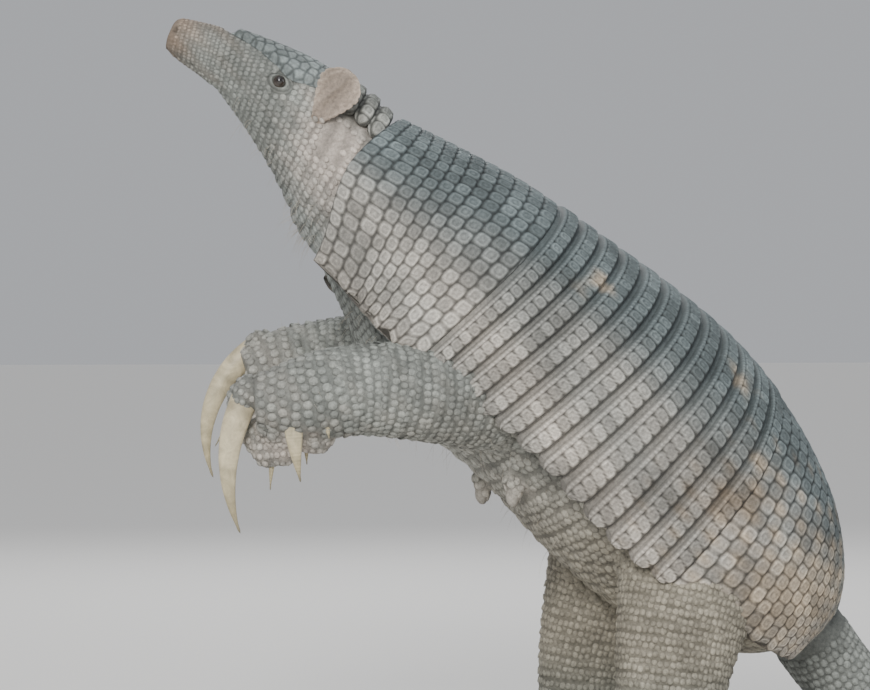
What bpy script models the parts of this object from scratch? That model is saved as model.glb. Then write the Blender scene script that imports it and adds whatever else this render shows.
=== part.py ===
"""Giant armadillo, life size, reared on its hind legs: still model of shell plates, flesh, eyes and claws.

The middle of the animal is the plane y = 0, the head points to -X and the soles stand on z = 0.
Every cross-section of head, neck and trunk is described by its highest point, its lowest point and
its half width, so the plates of the shell and the flesh under them share the same sections.
"""
import bpy
import bmesh
import math
from mathutils import Vector

# ---------------------------------------------------------------- driving dimensions (metres)
GAP = 0.0004            # clearance left between neighbouring solids
PLATE = 0.008           # thickness of the body shell
BAND_COUNT = 12         # movable bands across the back
BAND_START = 0.267      # where the first movable band begins, as a fraction of the trunk
BAND_END = 0.622        # where the last one ends
BAND_STEP = 0.0035      # height of the step on each band
SHIELD_ROWS = 8         # rows of facets along each of the two shields
SHELL_SEGMENTS = 14     # facets from margin to margin across the back
BELLY_SEGMENTS = 6      # facets across the belly
LOBE = 0.045            # length of one lobe of the shields' lower edge, as a fraction of the trunk
LOBE_REACH = 0.018      # half the angle by which a lobe reaches lower
BELLY_SINK = 0.010      # the belly stays this far above the lowest points of the sections
MID = 0.47              # widest level of a trunk section, as a fraction of its depth
EYE_RADIUS = 0.0062
BODY_TURN = math.radians(20)     # head and shoulders are turned to the animal's right
TURN_START = 0.10
TURN_LENGTH = 0.40

# top x, top z, bottom x, bottom z, half width; from the snout to the nape
HEAD = [
    (-0.4270, 0.7830, -0.4460, 0.7400, 0.0190),
    (-0.4110, 0.7800, -0.4210, 0.7280, 0.0225),
    (-0.3820, 0.7730, -0.3960, 0.7090, 0.0265),
    (-0.3550, 0.7640, -0.3790, 0.6870, 0.0320),
    (-0.3230, 0.7520, -0.3570, 0.6560, 0.0420),
    (-0.2880, 0.7360, -0.3350, 0.6200, 0.0510),
    (-0.2590, 0.7160, -0.3210, 0.5900, 0.0580),
]
NECK = [
    HEAD[-1],
    (-0.2320, 0.6980, -0.3110, 0.5620, 0.0700),
    (-0.2082, 0.6730, -0.2944, 0.5385, 0.0880),
]
# the same five numbers and the share of the depth that the shell covers; shoulder to tail root
TRUNK = [
    (-0.2050, 0.6780, -0.2960, 0.5360, 0.1020, 0.92),
    (-0.1500, 0.6510, -0.2680, 0.4750, 0.1270, 0.88),
    (-0.0800, 0.6140, -0.2450, 0.4250, 0.1430, 0.84),
    (-0.0070, 0.5640, -0.2050, 0.3700, 0.1490, 0.81),
    (+0.0710, 0.5100, -0.1300, 0.3100, 0.1520, 0.84),
    (+0.1430, 0.4530, -0.0450, 0.2220, 0.1540, 0.87),
    (+0.2010, 0.3860, +0.0350, 0.1620, 0.1480, 0.86),
    (+0.2420, 0.3150, +0.1150, 0.1280, 0.1280, 0.87),
    (+0.2620, 0.2480, +0.1720, 0.1190, 0.0970, 0.91),
    (+0.2690, 0.1880, +0.2070, 0.1300, 0.0570, 0.99),
]


def curve(stations, u):
    """Smooth value of a list of stations at the fraction u of its length."""
    last = len(stations) - 1
    at = min(max(u, 0.0), 1.0) * last
    i = min(int(at), last - 1)
    t = at - i
    p1 = Vector(stations[i])
    p2 = Vector(stations[i + 1])
    p0 = Vector(stations[i - 1]) if i > 0 else 2 * p1 - p2
    p3 = Vector(stations[i + 2]) if i + 2 <= last else 2 * p2 - p1
    cubic = (3 * p1 - p0 - 3 * p2 + p3) * t ** 3
    square = (2 * p0 - 5 * p1 + 4 * p2 - p3) * t ** 2
    return 0.5 * (2 * p1 + (p2 - p0) * t + square + cubic)


def turn(p):
    """Bend the body sideways, evenly between the hips and the shoulders."""
    ahead = TURN_START - p.x
    if ahead <= 0:
        return p
    radius = TURN_LENGTH / BODY_TURN
    angle = min(ahead, TURN_LENGTH) / radius
    rest = max(ahead - TURN_LENGTH, 0.0)
    x = TURN_START - (radius - p.y) * math.sin(angle) - rest * math.cos(angle)
    y = radius - (radius - p.y) * math.cos(angle) + rest * math.sin(angle)
    return Vector((x, y, p.z))


def section(stations, u, angle, sink=0.0, shell=False):
    """Point on a cross-section: angle 0 is the top, +-180 degrees the bottom, + is the right side."""
    s = curve(stations, u)
    top = Vector((s[0], 0, s[1]))
    down = Vector((s[2] - s[0], 0, s[3] - s[1]))
    depth = down.length
    down.normalize()
    high = MID * depth
    low = depth * (0.78 if shell else 1 - MID)
    a = abs(angle)
    level = -math.cos(a)
    reach = high if level < 0 else low
    side = math.sin(a)
    normal = Vector((side / s[4], level / reach)).normalized()
    y = math.copysign(s[4] * side - normal.x * sink, angle)
    z = high + reach * level - normal.y * sink
    return turn(top + down * z + Vector((0, y, 0)))


def margin(u):
    """Angle at which the shell ends, for the trunk section at u."""
    s = curve(TRUNK, u)
    share = (s[5] - MID) / 0.78
    return math.pi / 2 + math.asin(min(share, 0.98))


# ---------------------------------------------------------------- making solids
def finish(name, bm, color, roughness=0.6):
    bmesh.ops.remove_doubles(bm, verts=bm.verts, dist=0.00005)
    bmesh.ops.recalc_face_normals(bm, faces=bm.faces)
    mesh = bpy.data.meshes.new(name)
    bm.to_mesh(mesh)
    bm.free()
    for face in mesh.polygons:
        face.use_smooth = True
    obj = bpy.data.objects.new(name, mesh)
    bpy.context.collection.objects.link(obj)
    mat = bpy.data.materials.new(name)
    mat.use_nodes = True
    shader = mat.node_tree.nodes["Principled BSDF"]
    shader.inputs["Base Color"].default_value = (*color, 1.0)
    shader.inputs["Roughness"].default_value = roughness
    shader.inputs["Metallic"].default_value = 0.0
    mesh.materials.append(mat)
    return obj


def skin_rings(bm, rings):
    """Join rings of equal length by quads; the first and last ring are closed by fans."""
    loops = [[bm.verts.new(p) for p in ring] for ring in rings]
    count = len(loops[0])
    for a, b in zip(loops, loops[1:]):
        for i in range(count):
            j = (i + 1) % count
            bm.faces.new((a[i], a[j], b[j], b[i]))
    for loop in (loops[0][::-1], loops[-1]):
        hub = bm.verts.new(sum((v.co for v in loop), Vector()) / count)
        for i in range(count):
            bm.faces.new((loop[i], loop[(i + 1) % count], hub))


def tube(name, stations, sides, color, steps, side=Vector((0, 1, 0)), square=1.0):
    """Round limb through stations of centre, width radius and height radius."""
    bm = bmesh.new()
    rings = []
    for k in range(steps + 1):
        u = k / steps
        s = curve(stations, u)
        ahead = curve(stations, min(u + 0.01, 1)) - curve(stations, max(u - 0.01, 0))
        along = Vector(ahead[:3]).normalized()
        across = (side - along * side.dot(along)).normalized()
        up = along.cross(across)
        ring = []
        for i in range(sides):
            a = 2 * math.pi * i / sides
            c = math.copysign(abs(math.cos(a)) ** square, math.cos(a))
            d = math.copysign(abs(math.sin(a)) ** square, math.sin(a))
            ring.append(Vector(s[:3]) + across * s[3] * c + up * s[4] * d)
        rings.append(ring)
    skin_rings(bm, rings)
    return finish(name, bm, color)


def plate(name, stations, us, angles, thick, color, lift, sink=0.0, narrow=None, shell=False,
          thin=False, bow=None):
    """Curved plate on the sections: lift(i) raises row i, narrow(k) draws in its ends.

    A thin plate has no rows between front and rear on its inner face.
    """
    bm = bmesh.new()
    middle = (us[0] + us[-1]) / 2
    rings = []
    for k in range(len(angles(us[0]))):
        pull = narrow(k) if narrow else 1.0
        outer = []
        inner = []
        for i, u in enumerate(us):
            w = middle + (u - middle) * pull
            a = angles(w)[k]
            shift = bow(a) if bow and i == 0 else Vector()
            outer.append(section(stations, w, a, sink - lift(i), shell) + shift)
            if i in (0, len(us) - 1) or not thin:
                inner.append(section(stations, w, a, sink + thick, shell) + shift)
        rings.append(outer + inner[::-1])
    skin_rings(bm, rings)
    return finish(name, bm, color)


def carve(obj, others, gap=GAP, solver="EXACT"):
    """Cut away from obj the space of the others grown by the gap, and keep the largest piece."""
    bpy.context.view_layer.update()
    for other in others:
        bm = bmesh.new()
        bm.from_mesh(other.data)
        bm.normal_update()
        for v in bm.verts:
            v.co += v.normal * gap
        mesh = bpy.data.meshes.new("tool")
        bm.to_mesh(mesh)
        bm.free()
        tool = bpy.data.objects.new("tool", mesh)
        bpy.context.collection.objects.link(tool)
        cut = obj.modifiers.new("cut", "BOOLEAN")
        cut.operation = "DIFFERENCE"
        cut.solver = solver
        cut.object = tool
        bake(obj)
        bpy.data.objects.remove(tool, do_unlink=True)
    keep_largest(obj)


def bake(obj):
    """Replace the mesh by its evaluated shape."""
    bpy.context.view_layer.update()
    graph = bpy.context.evaluated_depsgraph_get()
    mesh = bpy.data.meshes.new_from_object(obj.evaluated_get(graph))
    obj.modifiers.clear()
    obj.data = mesh


def keep_largest(obj):
    bm = bmesh.new()
    bm.from_mesh(obj.data)
    todo = set(bm.verts)
    groups = []
    while todo:
        stack = [todo.pop()]
        group = set(stack)
        while stack:
            for edge in stack.pop().link_edges:
                for v in edge.verts:
                    if v in todo:
                        todo.discard(v)
                        group.add(v)
                        stack.append(v)
        groups.append(group)
    groups.sort(key=lambda g: max(v.co.x for v in g) - min(v.co.x for v in g))
    for group in groups[:-1]:
        bmesh.ops.delete(bm, geom=list(group), context="VERTS")
    bm.to_mesh(obj.data)
    bm.free()


def spread(start, end, count):
    return [start + (end - start) * i / count for i in range(count + 1)]


# ---------------------------------------------------------------- start with an empty scene
for old in list(bpy.data.objects):
    bpy.data.objects.remove(old, do_unlink=True)

SLATE = (0.17, 0.20, 0.19)
DUST = (0.33, 0.28, 0.20)
SKIN = (0.25, 0.24, 0.21)
PINK = (0.40, 0.35, 0.30)
HORN = (0.50, 0.42, 0.28)

# ---------------------------------------------------------------- shell of the back
SEAM = 0.0016      # half the gap between neighbouring plates, as a fraction of the trunk


EDGE_STRIP = 0.07  # angle taken by the rounded lower edge of each plate


def across(u):
    """Angles of the facets from one lower edge to the other, with a row at the widest level."""
    edge = margin(u)
    inside = edge - EDGE_STRIP
    return [-edge, -inside] + spread(-math.pi / 2, math.pi / 2, SHELL_SEGMENTS - 4) + [inside, edge]


def lobed(u):
    """Like across, but the lower edge swells and draws back in even lobes along u."""
    angles = across(u)
    reach = LOBE_REACH * (1.0 + math.cos(2 * math.pi * u / LOBE))
    return [angles[0] - reach] + angles[1:-1] + [angles[-1] + reach]


def rounded_end(k):
    from_edge = min(k, SHELL_SEGMENTS - k)
    return {0: 0.55}.get(from_edge, 1.0)


BAND_WIDTH = (BAND_END - BAND_START) / BAND_COUNT
for n in range(BAND_COUNT):
    front = BAND_START + n * BAND_WIDTH + SEAM / 2
    rear = front + BAND_WIDTH - SEAM
    rows = [front, front + 0.30 * (rear - front), front + 0.40 * (rear - front), rear]
    heights = [-0.002, -0.002, BAND_STEP, 0.0015]
    plate(f"shell_band_{n + 1:02d}", TRUNK, rows, across, PLATE, SLATE,
          lambda i: heights[i], narrow=rounded_end, shell=True, thin=True)

SHOULDER_BOW = 0.018     # the front edge reaches this far forward on the sides


def shoulder_bow(a):
    return Vector((-0.84, 0, 0.54)) * SHOULDER_BOW * math.sin(min(abs(a), math.pi / 2)) ** 2


plate("shoulder_shield", TRUNK, spread(0.0, BAND_START - SEAM / 2, SHIELD_ROWS), lobed, PLATE, SLATE,
      lambda i: 0.0, shell=True, bow=shoulder_bow)
plate("hip_shield", TRUNK, spread(BAND_END + SEAM / 2, 0.985, SHIELD_ROWS), lobed, PLATE, DUST,
      lambda i: 0.0 if i else 0.002, shell=True)

# ---------------------------------------------------------------- trunk under the shell
def flank_sink(a):
    """The flesh lies against the shell above the widest level and falls away from it below."""
    return PLATE + 2 * GAP + (0.004 if abs(a) > 1.6 else 0.0)


bm = bmesh.new()
rows = spread(0.0, BAND_START - SEAM / 2, SHIELD_ROWS)
rows += [BAND_START + BAND_WIDTH * (n + 1) for n in range(BAND_COUNT)]
rows += spread(BAND_END + SEAM / 2, 0.985, SHIELD_ROWS)
rings = []
for u in rows:
    edge = margin(u)
    ring = [section(TRUNK, u, a, flank_sink(a)) for a in across(u)]
    under = spread(edge, 2 * math.pi - edge, BELLY_SEGMENTS)[1:-1]
    ring += [section(TRUNK, u, a if a <= math.pi else a - 2 * math.pi, BELLY_SINK) for a in under]
    rings.append(ring)
skin_rings(bm, rings)
trunk = finish("trunk", bm, SKIN)

# ---------------------------------------------------------------- neck with its three plates
NECK_SIDES = 16


def round_section(stations, u, sink, sides=NECK_SIDES):
    return [section(stations, u, -math.pi + 2 * math.pi * i / sides, sink) for i in range(sides)]


NAPE = 0.005       # thickness of the plates of the nape and of the crown
NAPE_REACH = math.radians(55)
NAPE_SEGMENTS = 6
NAPE_PLATES = 3
NAPE_START = 0.10
NAPE_END = 0.90

bm = bmesh.new()
skin_rings(bm, [round_section(NECK, 0.008 + 0.980 * u, NAPE + 4 * GAP) for u in spread(0, 1, 6)])
neck = finish("neck", bm, SKIN)

nape_width = (NAPE_END - NAPE_START) / NAPE_PLATES


def nape_angles(u):
    return spread(-NAPE_REACH, NAPE_REACH, NAPE_SEGMENTS)


def nape_ends(k):
    return {0: 0.4, 1: 0.9}.get(min(k, NAPE_SEGMENTS - k), 1.0)


for n in range(NAPE_PLATES):
    front = NAPE_START + n * nape_width
    rows = spread(front + 0.01, front + nape_width - 0.01, 2)
    heights = [0.0, 0.007, 0.004]
    band = plate(f"nape_band_{n + 1}", NECK, rows, nape_angles, NAPE - GAP, SLATE,
                 lambda i: heights[i], narrow=nape_ends)

# ---------------------------------------------------------------- head, crown plate, eyes, ears
CROWN_START = 0.40
CROWN_END = 0.965
CROWN_REACH = math.radians(62)
CROWN_SEGMENTS = 8
EYE_AT = 0.722          # place of the eye along the head and its angle from the crown
EYE_ANGLE = math.radians(73)

bm = bmesh.new()
rings = [round_section(HEAD, 0.0, 0.0060)]
rings += [round_section(HEAD, u, 0.0015 if u < 0.35 else 0.0045) for u in [0.03] + spread(0.12, 1, 9)]
skin_rings(bm, rings)
head = finish("head", bm, SKIN)


def crown_angles(u):
    """The crown plate starts as a tongue on the snout and widens between the eyes."""
    reach = CROWN_REACH * min(1.0, 0.35 + 1.9 * (u - CROWN_START)) * (1 - 1.7 * max(u - 0.78, 0))
    return spread(-reach, reach, CROWN_SEGMENTS)


crown = plate("crown_shield", HEAD, spread(CROWN_START, CROWN_END, 6), crown_angles, 0.0025, SLATE,
              lambda i: 0.0005)

for name, side in (("left", -1), ("right", 1)):
    centre = section(HEAD, EYE_AT, side * EYE_ANGLE, EYE_RADIUS * 0.75)
    bm = bmesh.new()
    bmesh.ops.create_uvsphere(bm, u_segments=8, v_segments=6, radius=EYE_RADIUS)
    bmesh.ops.translate(bm, verts=bm.verts, vec=centre)
    eye = finish(f"eye_{name}", bm, (0.02, 0.012, 0.008), 0.08)
    carve(head, [eye])
    carve(crown, [eye])

EAR_AT = 0.965
EAR_ANGLE = math.radians(75)
EAR_HEIGHT = 0.056
EAR_WIDTH = 0.046
EAR_THICK = 0.0035
for name, side in (("left", -1), ("right", 1)):
    root = section(HEAD, EAR_AT, side * EAR_ANGLE, 0.003)
    outward = (root - section(HEAD, EAR_AT, side * EAR_ANGLE, 0.012)).normalized()
    back = turn(Vector((-0.30, 0, 0.7))) - turn(Vector((-0.31, 0, 0.7)))
    tall = (back.normalized() * 0.60 + Vector((0, 0, 0.74)) + outward * 0.26).normalized()
    wide = tall.cross(outward).normalized() * side
    face = wide.cross(tall).normalized()
    face *= 1 if face.dot(outward) > 0 else -1
    rings = []
    for t in spread(0, 1, 7):
        half = EAR_WIDTH / 2 * (0.36 + 0.64 * math.sin(math.pi * min(t * 0.62 + 0.02, 1)) ** 1.2)
        half *= math.sqrt(max(1 - max(t - 0.62, 0) ** 2 / 0.152, 0.02))
        ring = []
        for i in range(10):
            a = 2 * math.pi * i / 10
            w = math.cos(a) * half
            cup = 0.010 * (w / (EAR_WIDTH / 2)) ** 2 + 0.006 * t * t
            thick = EAR_THICK / 2 * math.sin(a)
            ring.append(root + tall * (EAR_HEIGHT * t) + wide * w + face * (cup + thick))
        rings.append(ring)
    bm = bmesh.new()
    skin_rings(bm, rings)
    ear = finish(f"ear_{name}", bm, PINK)
    carve(ear, [head])
    carve(ear, [crown], 0.001)

# ---------------------------------------------------------------- tail, laid on the ground
# centre x, y, z, half width, half height
TAIL = [
    (0.2405, 0, 0.1540, 0.0500, 0.0410),
    (0.2850, 0, 0.1000, 0.0450, 0.0400),
    (0.3400, 0, 0.0520, 0.0400, 0.0370),
    (0.4200, 0, 0.0310, 0.0350, 0.0305),
    (0.5100, 0, 0.0240, 0.0290, 0.0235),
    (0.6000, 0, 0.0180, 0.0220, 0.0176),
    (0.6800, 0, 0.0120, 0.0145, 0.0117),
    (0.7400, 0, 0.0065, 0.0065, 0.0062),
]
tail = tube("tail", TAIL, 12, SLATE, 14)
for v in tail.data.vertices:
    v.co.z = max(v.co.z, 0.0)

# ---------------------------------------------------------------- legs
# centre x, y (left side), z, half width, half height
FORE_LEFT = [
    (-0.0850, 0.050, 0.4000, 0.050, 0.060),
    (-0.1400, 0.088, 0.4020, 0.046, 0.056),
    (-0.1950, 0.110, 0.4050, 0.041, 0.049),
    (-0.2500, 0.119, 0.4070, 0.038, 0.045),
    (-0.3030, 0.120, 0.3980, 0.037, 0.040),
    (-0.3450, 0.118, 0.3960, 0.030, 0.026),
]
FORE_RIGHT = [
    (-0.0850, 0.050, 0.4150, 0.050, 0.060),
    (-0.1500, 0.088, 0.4320, 0.046, 0.056),
    (-0.2100, 0.108, 0.4400, 0.042, 0.048),
    (-0.2700, 0.115, 0.4370, 0.038, 0.042),
    (-0.3250, 0.113, 0.4280, 0.037, 0.039),
    (-0.3600, 0.108, 0.4150, 0.032, 0.030),
]
HIND = [
    (0.0750, 0.078, 0.2600, 0.055, 0.085),
    (0.0600, 0.086, 0.2000, 0.052, 0.076),
    (0.0460, 0.091, 0.1500, 0.048, 0.066),
    (0.0370, 0.094, 0.1000, 0.045, 0.058),
    (0.0360, 0.096, 0.0550, 0.042, 0.053),
    (0.0360, 0.098, 0.0200, 0.036, 0.048),
]
FOOT = [
    (0.0900, 0.099, 0.0240, 0.024, 0.024),
    (0.0600, 0.099, 0.0280, 0.034, 0.036),
    (0.0000, 0.102, 0.0260, 0.041, 0.036),
    (-0.0500, 0.106, 0.0180, 0.044, 0.025),
    (-0.0860, 0.108, 0.0130, 0.036, 0.016),
]
# pads of the palm: centre x, y, z and the three radii
PALM = [
    (-0.332, 0.100, 0.352, 0.022, 0.016, 0.026),
    (-0.290, 0.112, 0.362, 0.020, 0.018, 0.018),
]
PALM_SHIFT = Vector((-0.022, -0.006, 0.032))      # from the left hand to the right hand

# base x, y, z, lean forward of straight down, curl, length, half width, half height
FORE_CLAWS_LEFT = [
    (-0.295, 0.094, 0.378, 12, 16, 0.045, 0.0040, 0.0055),
    (-0.322, 0.102, 0.388, 14, 12, 0.080, 0.0050, 0.0070),
    (-0.354, 0.120, 0.402, 32, 54, 0.138, 0.0090, 0.0140),
    (-0.309, 0.138, 0.396, 4, 16, 0.078, 0.0080, 0.0118),
    (-0.281, 0.143, 0.396, 2, 12, 0.036, 0.0055, 0.0068),
]
FORE_CLAWS_RIGHT = [
    (-0.335, 0.084, 0.398, 18, 14, 0.045, 0.0040, 0.0055),
    (-0.352, 0.092, 0.408, 38, 8, 0.076, 0.0050, 0.0065),
    (-0.350, 0.108, 0.448, 64, 84, 0.156, 0.0090, 0.0140),
    (-0.345, 0.126, 0.412, 14, 22, 0.078, 0.0080, 0.0118),
    (-0.318, 0.131, 0.410, 6, 14, 0.036, 0.0055, 0.0068),
]
# distance from the middle toe, distance back from its tip, scale
HIND_CLAWS = [(-0.031, 0.020, 0.75), (-0.017, 0.005, 0.95), (0.0, 0.0, 1.0), (0.017, 0.006, 0.95),
              (0.032, 0.020, 0.8)]
HIND_CLAW_LENGTH = 0.040


def mirrored(stations, side):
    return [(s[0], s[1] * side) + tuple(s[2:]) for s in stations]


def pad(stations, side, shift):
    """Rounded pad of flesh, made of one ellipsoid."""
    x, y, z, rx, ry, rz = stations
    bm = bmesh.new()
    bmesh.ops.create_uvsphere(bm, u_segments=8, v_segments=6, radius=1.0)
    bmesh.ops.scale(bm, verts=bm.verts, vec=(rx, ry, rz))
    centre = Vector((x, y, z)) + shift
    centre.y *= side
    bmesh.ops.translate(bm, verts=bm.verts, vec=centre)
    return finish("pad", bm, SKIN)


def join(obj, others):
    """Grow obj by the shapes of the others, which are used up."""
    for other in others:
        bpy.context.view_layer.update()
        add = obj.modifiers.new("add", "BOOLEAN")
        add.operation = "UNION"
        add.solver = "EXACT"
        add.object = other
        bake(obj)
        bpy.data.objects.remove(other, do_unlink=True)
    keep_largest(obj)


def claw(name, base, lean, curl, length, half_width, half_height, sides, steps):
    """Curved horn: an arc in an upright plane that tapers to a blunt tip."""
    bm = bmesh.new()
    rings = []
    place = Vector(base)
    for k in range(steps + 1):
        t = k / steps
        heading = math.radians(lean - curl * t)
        along = Vector((-math.sin(heading), 0, -math.cos(heading)))
        up = Vector((-math.cos(heading), 0, math.sin(heading)))
        if k:
            place = place + along * (length / steps)
        taper = max(1 - t ** 1.7, 0.10)
        ring = []
        for i in range(sides):
            a = 2 * math.pi * i / sides
            wide = math.cos(a) * half_width * taper
            high = math.sin(a) * half_height * taper
            ring.append(place + Vector((0, wide, 0)) + up * high)
        rings.append(ring)
    skin_rings(bm, rings)
    return finish(name, bm, HORN, 0.35)


def bend(obj):
    """Turn a fore limb aside together with the shoulders."""
    for v in obj.data.vertices:
        v.co = turn(v.co)


def shell_hull():
    """Everything above the lower edges of the shell, which the legs must stay clear of."""
    bm = bmesh.new()
    rings = []
    for u in spread(-0.04, 0.985, 24):
        edge = margin(u) + 0.09
        ring = [section(TRUNK, max(u, 0.0), a, -0.007, True) for a in spread(-edge, edge, 30)]
        rings.append([p + Vector((min(u, 0.0), 0, -0.8 * min(u, 0.0))) for p in ring])
    skin_rings(bm, rings)
    return finish("hull", bm, SLATE)


hull = shell_hull()
for name, side in (("left", -1), ("right", 1)):
    fore = tube(f"fore_leg_{name}", mirrored(FORE_LEFT if side < 0 else FORE_RIGHT, side), 12, SKIN, 7)
    shift = Vector((0, 0, 0)) if side < 0 else PALM_SHIFT
    join(fore, [pad(p, side, shift) for p in PALM])
    bend(fore)
    claws = FORE_CLAWS_LEFT if side < 0 else FORE_CLAWS_RIGHT
    for digit, (x, y, z, lean, curl, length, wide, high) in enumerate(claws, 1):
        horn = claw(f"fore_claw_{name}_{digit}", (x, y * side, z), lean, curl, length, wide, high, 6, 6)
        bend(horn)
        carve(fore, [horn], solver="MANIFOLD")
    carve(fore, [hull, trunk], solver="MANIFOLD")      # EXACT leaves slivers along the shield's edge

    hind = tube(f"hind_leg_{name}", mirrored(HIND, side), 10, SKIN, 5)
    join(hind, [tube("foot", mirrored(FOOT, side), 10, SKIN, 5)])
    for v in hind.data.vertices:
        v.co.z = max(v.co.z, 0.0)
    for digit, (out, back, scale) in enumerate(HIND_CLAWS, 1):
        base = (-0.078 + back, side * (0.108 + out), 0.025)
        horn = claw(f"hind_claw_{name}_{digit}", base, 84, 28, HIND_CLAW_LENGTH * scale + 0.012,
                    0.0080 * scale, 0.0085 * scale, 6, 4)
        carve(hind, [horn], solver="MANIFOLD")
    carve(hind, [hull, trunk], solver="MANIFOLD")

bpy.data.objects.remove(hull, do_unlink=True)
# ---------------------------------------------------------------- middle of the model over the origin
shift = Vector()
for axis in (0, 1):
    reach = [v.co[axis] for o in bpy.data.objects for v in o.data.vertices]
    shift[axis] = -(min(reach) + max(reach)) / 2
for obj in bpy.data.objects:
    for v in obj.data.vertices:
        v.co += shift
print("moved by", [round(c, 4) for c in shift])
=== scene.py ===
# %% [markdown]
# # A giant armadillo, reared up on its hind legs
# The animal is a long barrel of flesh under a jointed shell. This lesson builds the look of it
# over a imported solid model: one skin for all the flesh, a shell of fine plates laid exactly on
# the solid plates, small raised scales where the skin is bare of shell, claws and eyes.
# Every shape is worked out from the same few cross-sections that the solids came from.

# %% Load the solid model
import math
import bpy
import bmesh
import numpy as np
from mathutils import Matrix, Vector
from mathutils.bvhtree import BVHTree


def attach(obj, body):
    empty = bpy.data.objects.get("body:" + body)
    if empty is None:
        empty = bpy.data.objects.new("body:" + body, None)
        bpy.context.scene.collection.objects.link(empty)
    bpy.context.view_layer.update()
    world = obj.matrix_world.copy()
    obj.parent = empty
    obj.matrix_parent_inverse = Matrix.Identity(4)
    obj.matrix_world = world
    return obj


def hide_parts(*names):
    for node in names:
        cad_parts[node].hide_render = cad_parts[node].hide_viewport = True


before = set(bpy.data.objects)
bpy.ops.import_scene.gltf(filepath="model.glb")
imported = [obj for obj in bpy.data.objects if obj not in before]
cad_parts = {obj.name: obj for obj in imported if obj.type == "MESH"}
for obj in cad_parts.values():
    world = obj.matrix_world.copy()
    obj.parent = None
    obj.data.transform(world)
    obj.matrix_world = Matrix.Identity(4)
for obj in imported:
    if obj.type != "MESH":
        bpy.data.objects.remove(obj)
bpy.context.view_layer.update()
print("nodes in the frame:", len(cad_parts))

# %% [markdown]
# ## Sections of the body
# A tapering body can be sculpted by hand, or lofted through sections. Sections win here, because
# a point on the body is then named by two numbers: how far along it is, and its angle round from
# the top. Plates, scales and folds are all placed by those two numbers.

# %% Stations along the body
# each station: top x, top z, bottom x, bottom z, half width
HEAD = np.array([
    (-0.4270, 0.7830, -0.4460, 0.7400, 0.0190),
    (-0.4110, 0.7800, -0.4210, 0.7280, 0.0225),
    (-0.3820, 0.7730, -0.3960, 0.7090, 0.0265),
    (-0.3550, 0.7640, -0.3790, 0.6870, 0.0320),
    (-0.3230, 0.7520, -0.3570, 0.6560, 0.0420),
    (-0.2880, 0.7360, -0.3350, 0.6200, 0.0510),
    (-0.2590, 0.7160, -0.3210, 0.5900, 0.0580),
])
NECK = np.array([
    tuple(HEAD[-1]),
    (-0.2320, 0.6980, -0.3110, 0.5620, 0.0700),
    (-0.2082, 0.6730, -0.2944, 0.5385, 0.0880),
])
# the trunk adds the share of its depth that the shell covers
TRUNK = np.array([
    (-0.2050, 0.6780, -0.2960, 0.5360, 0.1020, 0.92),
    (-0.1500, 0.6510, -0.2680, 0.4750, 0.1270, 0.88),
    (-0.0800, 0.6140, -0.2450, 0.4250, 0.1430, 0.84),
    (-0.0070, 0.5640, -0.2050, 0.3700, 0.1490, 0.81),
    (0.0710, 0.5100, -0.1300, 0.3100, 0.1520, 0.84),
    (0.1430, 0.4530, -0.0450, 0.2220, 0.1540, 0.87),
    (0.2010, 0.3860, 0.0350, 0.1620, 0.1480, 0.86),
    (0.2420, 0.3150, 0.1150, 0.1280, 0.1280, 0.87),
    (0.2620, 0.2480, 0.1720, 0.1190, 0.0970, 0.91),
    (0.2690, 0.1880, 0.2070, 0.1300, 0.0570, 0.99),
])
HOME = np.array([-0.1563, -0.0329, 0.0])
WIDEST = 0.47
SHELL_DEPTH = 0.78
BODY_TURN = math.radians(20)
TURN_START = 0.10
TURN_LENGTH = 0.40


print("stations:", len(HEAD), len(NECK), len(TRUNK))

# %% [markdown]
# ## From two numbers to a point
# A smooth path runs through the stations, so the body has no kinks where they stand. The forebody
# is then bent sideways: the animal looks a little to its right. Bending the finished points is
# simpler than bending every station, and plates, skin and scales all bend the same way.

# %% Path, bend and section
def curve(stations, u):
    """A smooth path through the stations, for an array of places from 0 to 1."""
    spans = len(stations) - 1
    first = 2 * stations[0] - stations[1]
    last = 2 * stations[-1] - stations[-2]
    ends = np.vstack([first, stations, last])
    at = np.clip(u, 0, 1) * spans
    i = np.minimum(at.astype(int), spans - 1)
    t = (at - i)[:, None]
    a, b, c, d = ends[i], ends[i + 1], ends[i + 2], ends[i + 3]
    bend = (2 * a - 5 * b + 4 * c - d) * t ** 2 + (3 * b - a - 3 * c + d) * t ** 3
    return 0.5 * (2 * b + (c - a) * t + bend)


def turn(p):
    """Bends everything ahead of the hips towards the animal's right."""
    radius = TURN_LENGTH / BODY_TURN
    ahead = np.maximum(TURN_START - p[:, 0], 0)
    angle = np.minimum(ahead, TURN_LENGTH) / radius
    rest = np.maximum(ahead - TURN_LENGTH, 0)
    reach = radius - p[:, 1]
    x = TURN_START - reach * np.sin(angle) - rest * np.cos(angle)
    y = radius - reach * np.cos(angle) + rest * np.sin(angle)
    x = np.where(ahead > 0, x, p[:, 0])
    y = np.where(ahead > 0, y, p[:, 1])
    return np.stack([x, y, p[:, 2]], -1)


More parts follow.
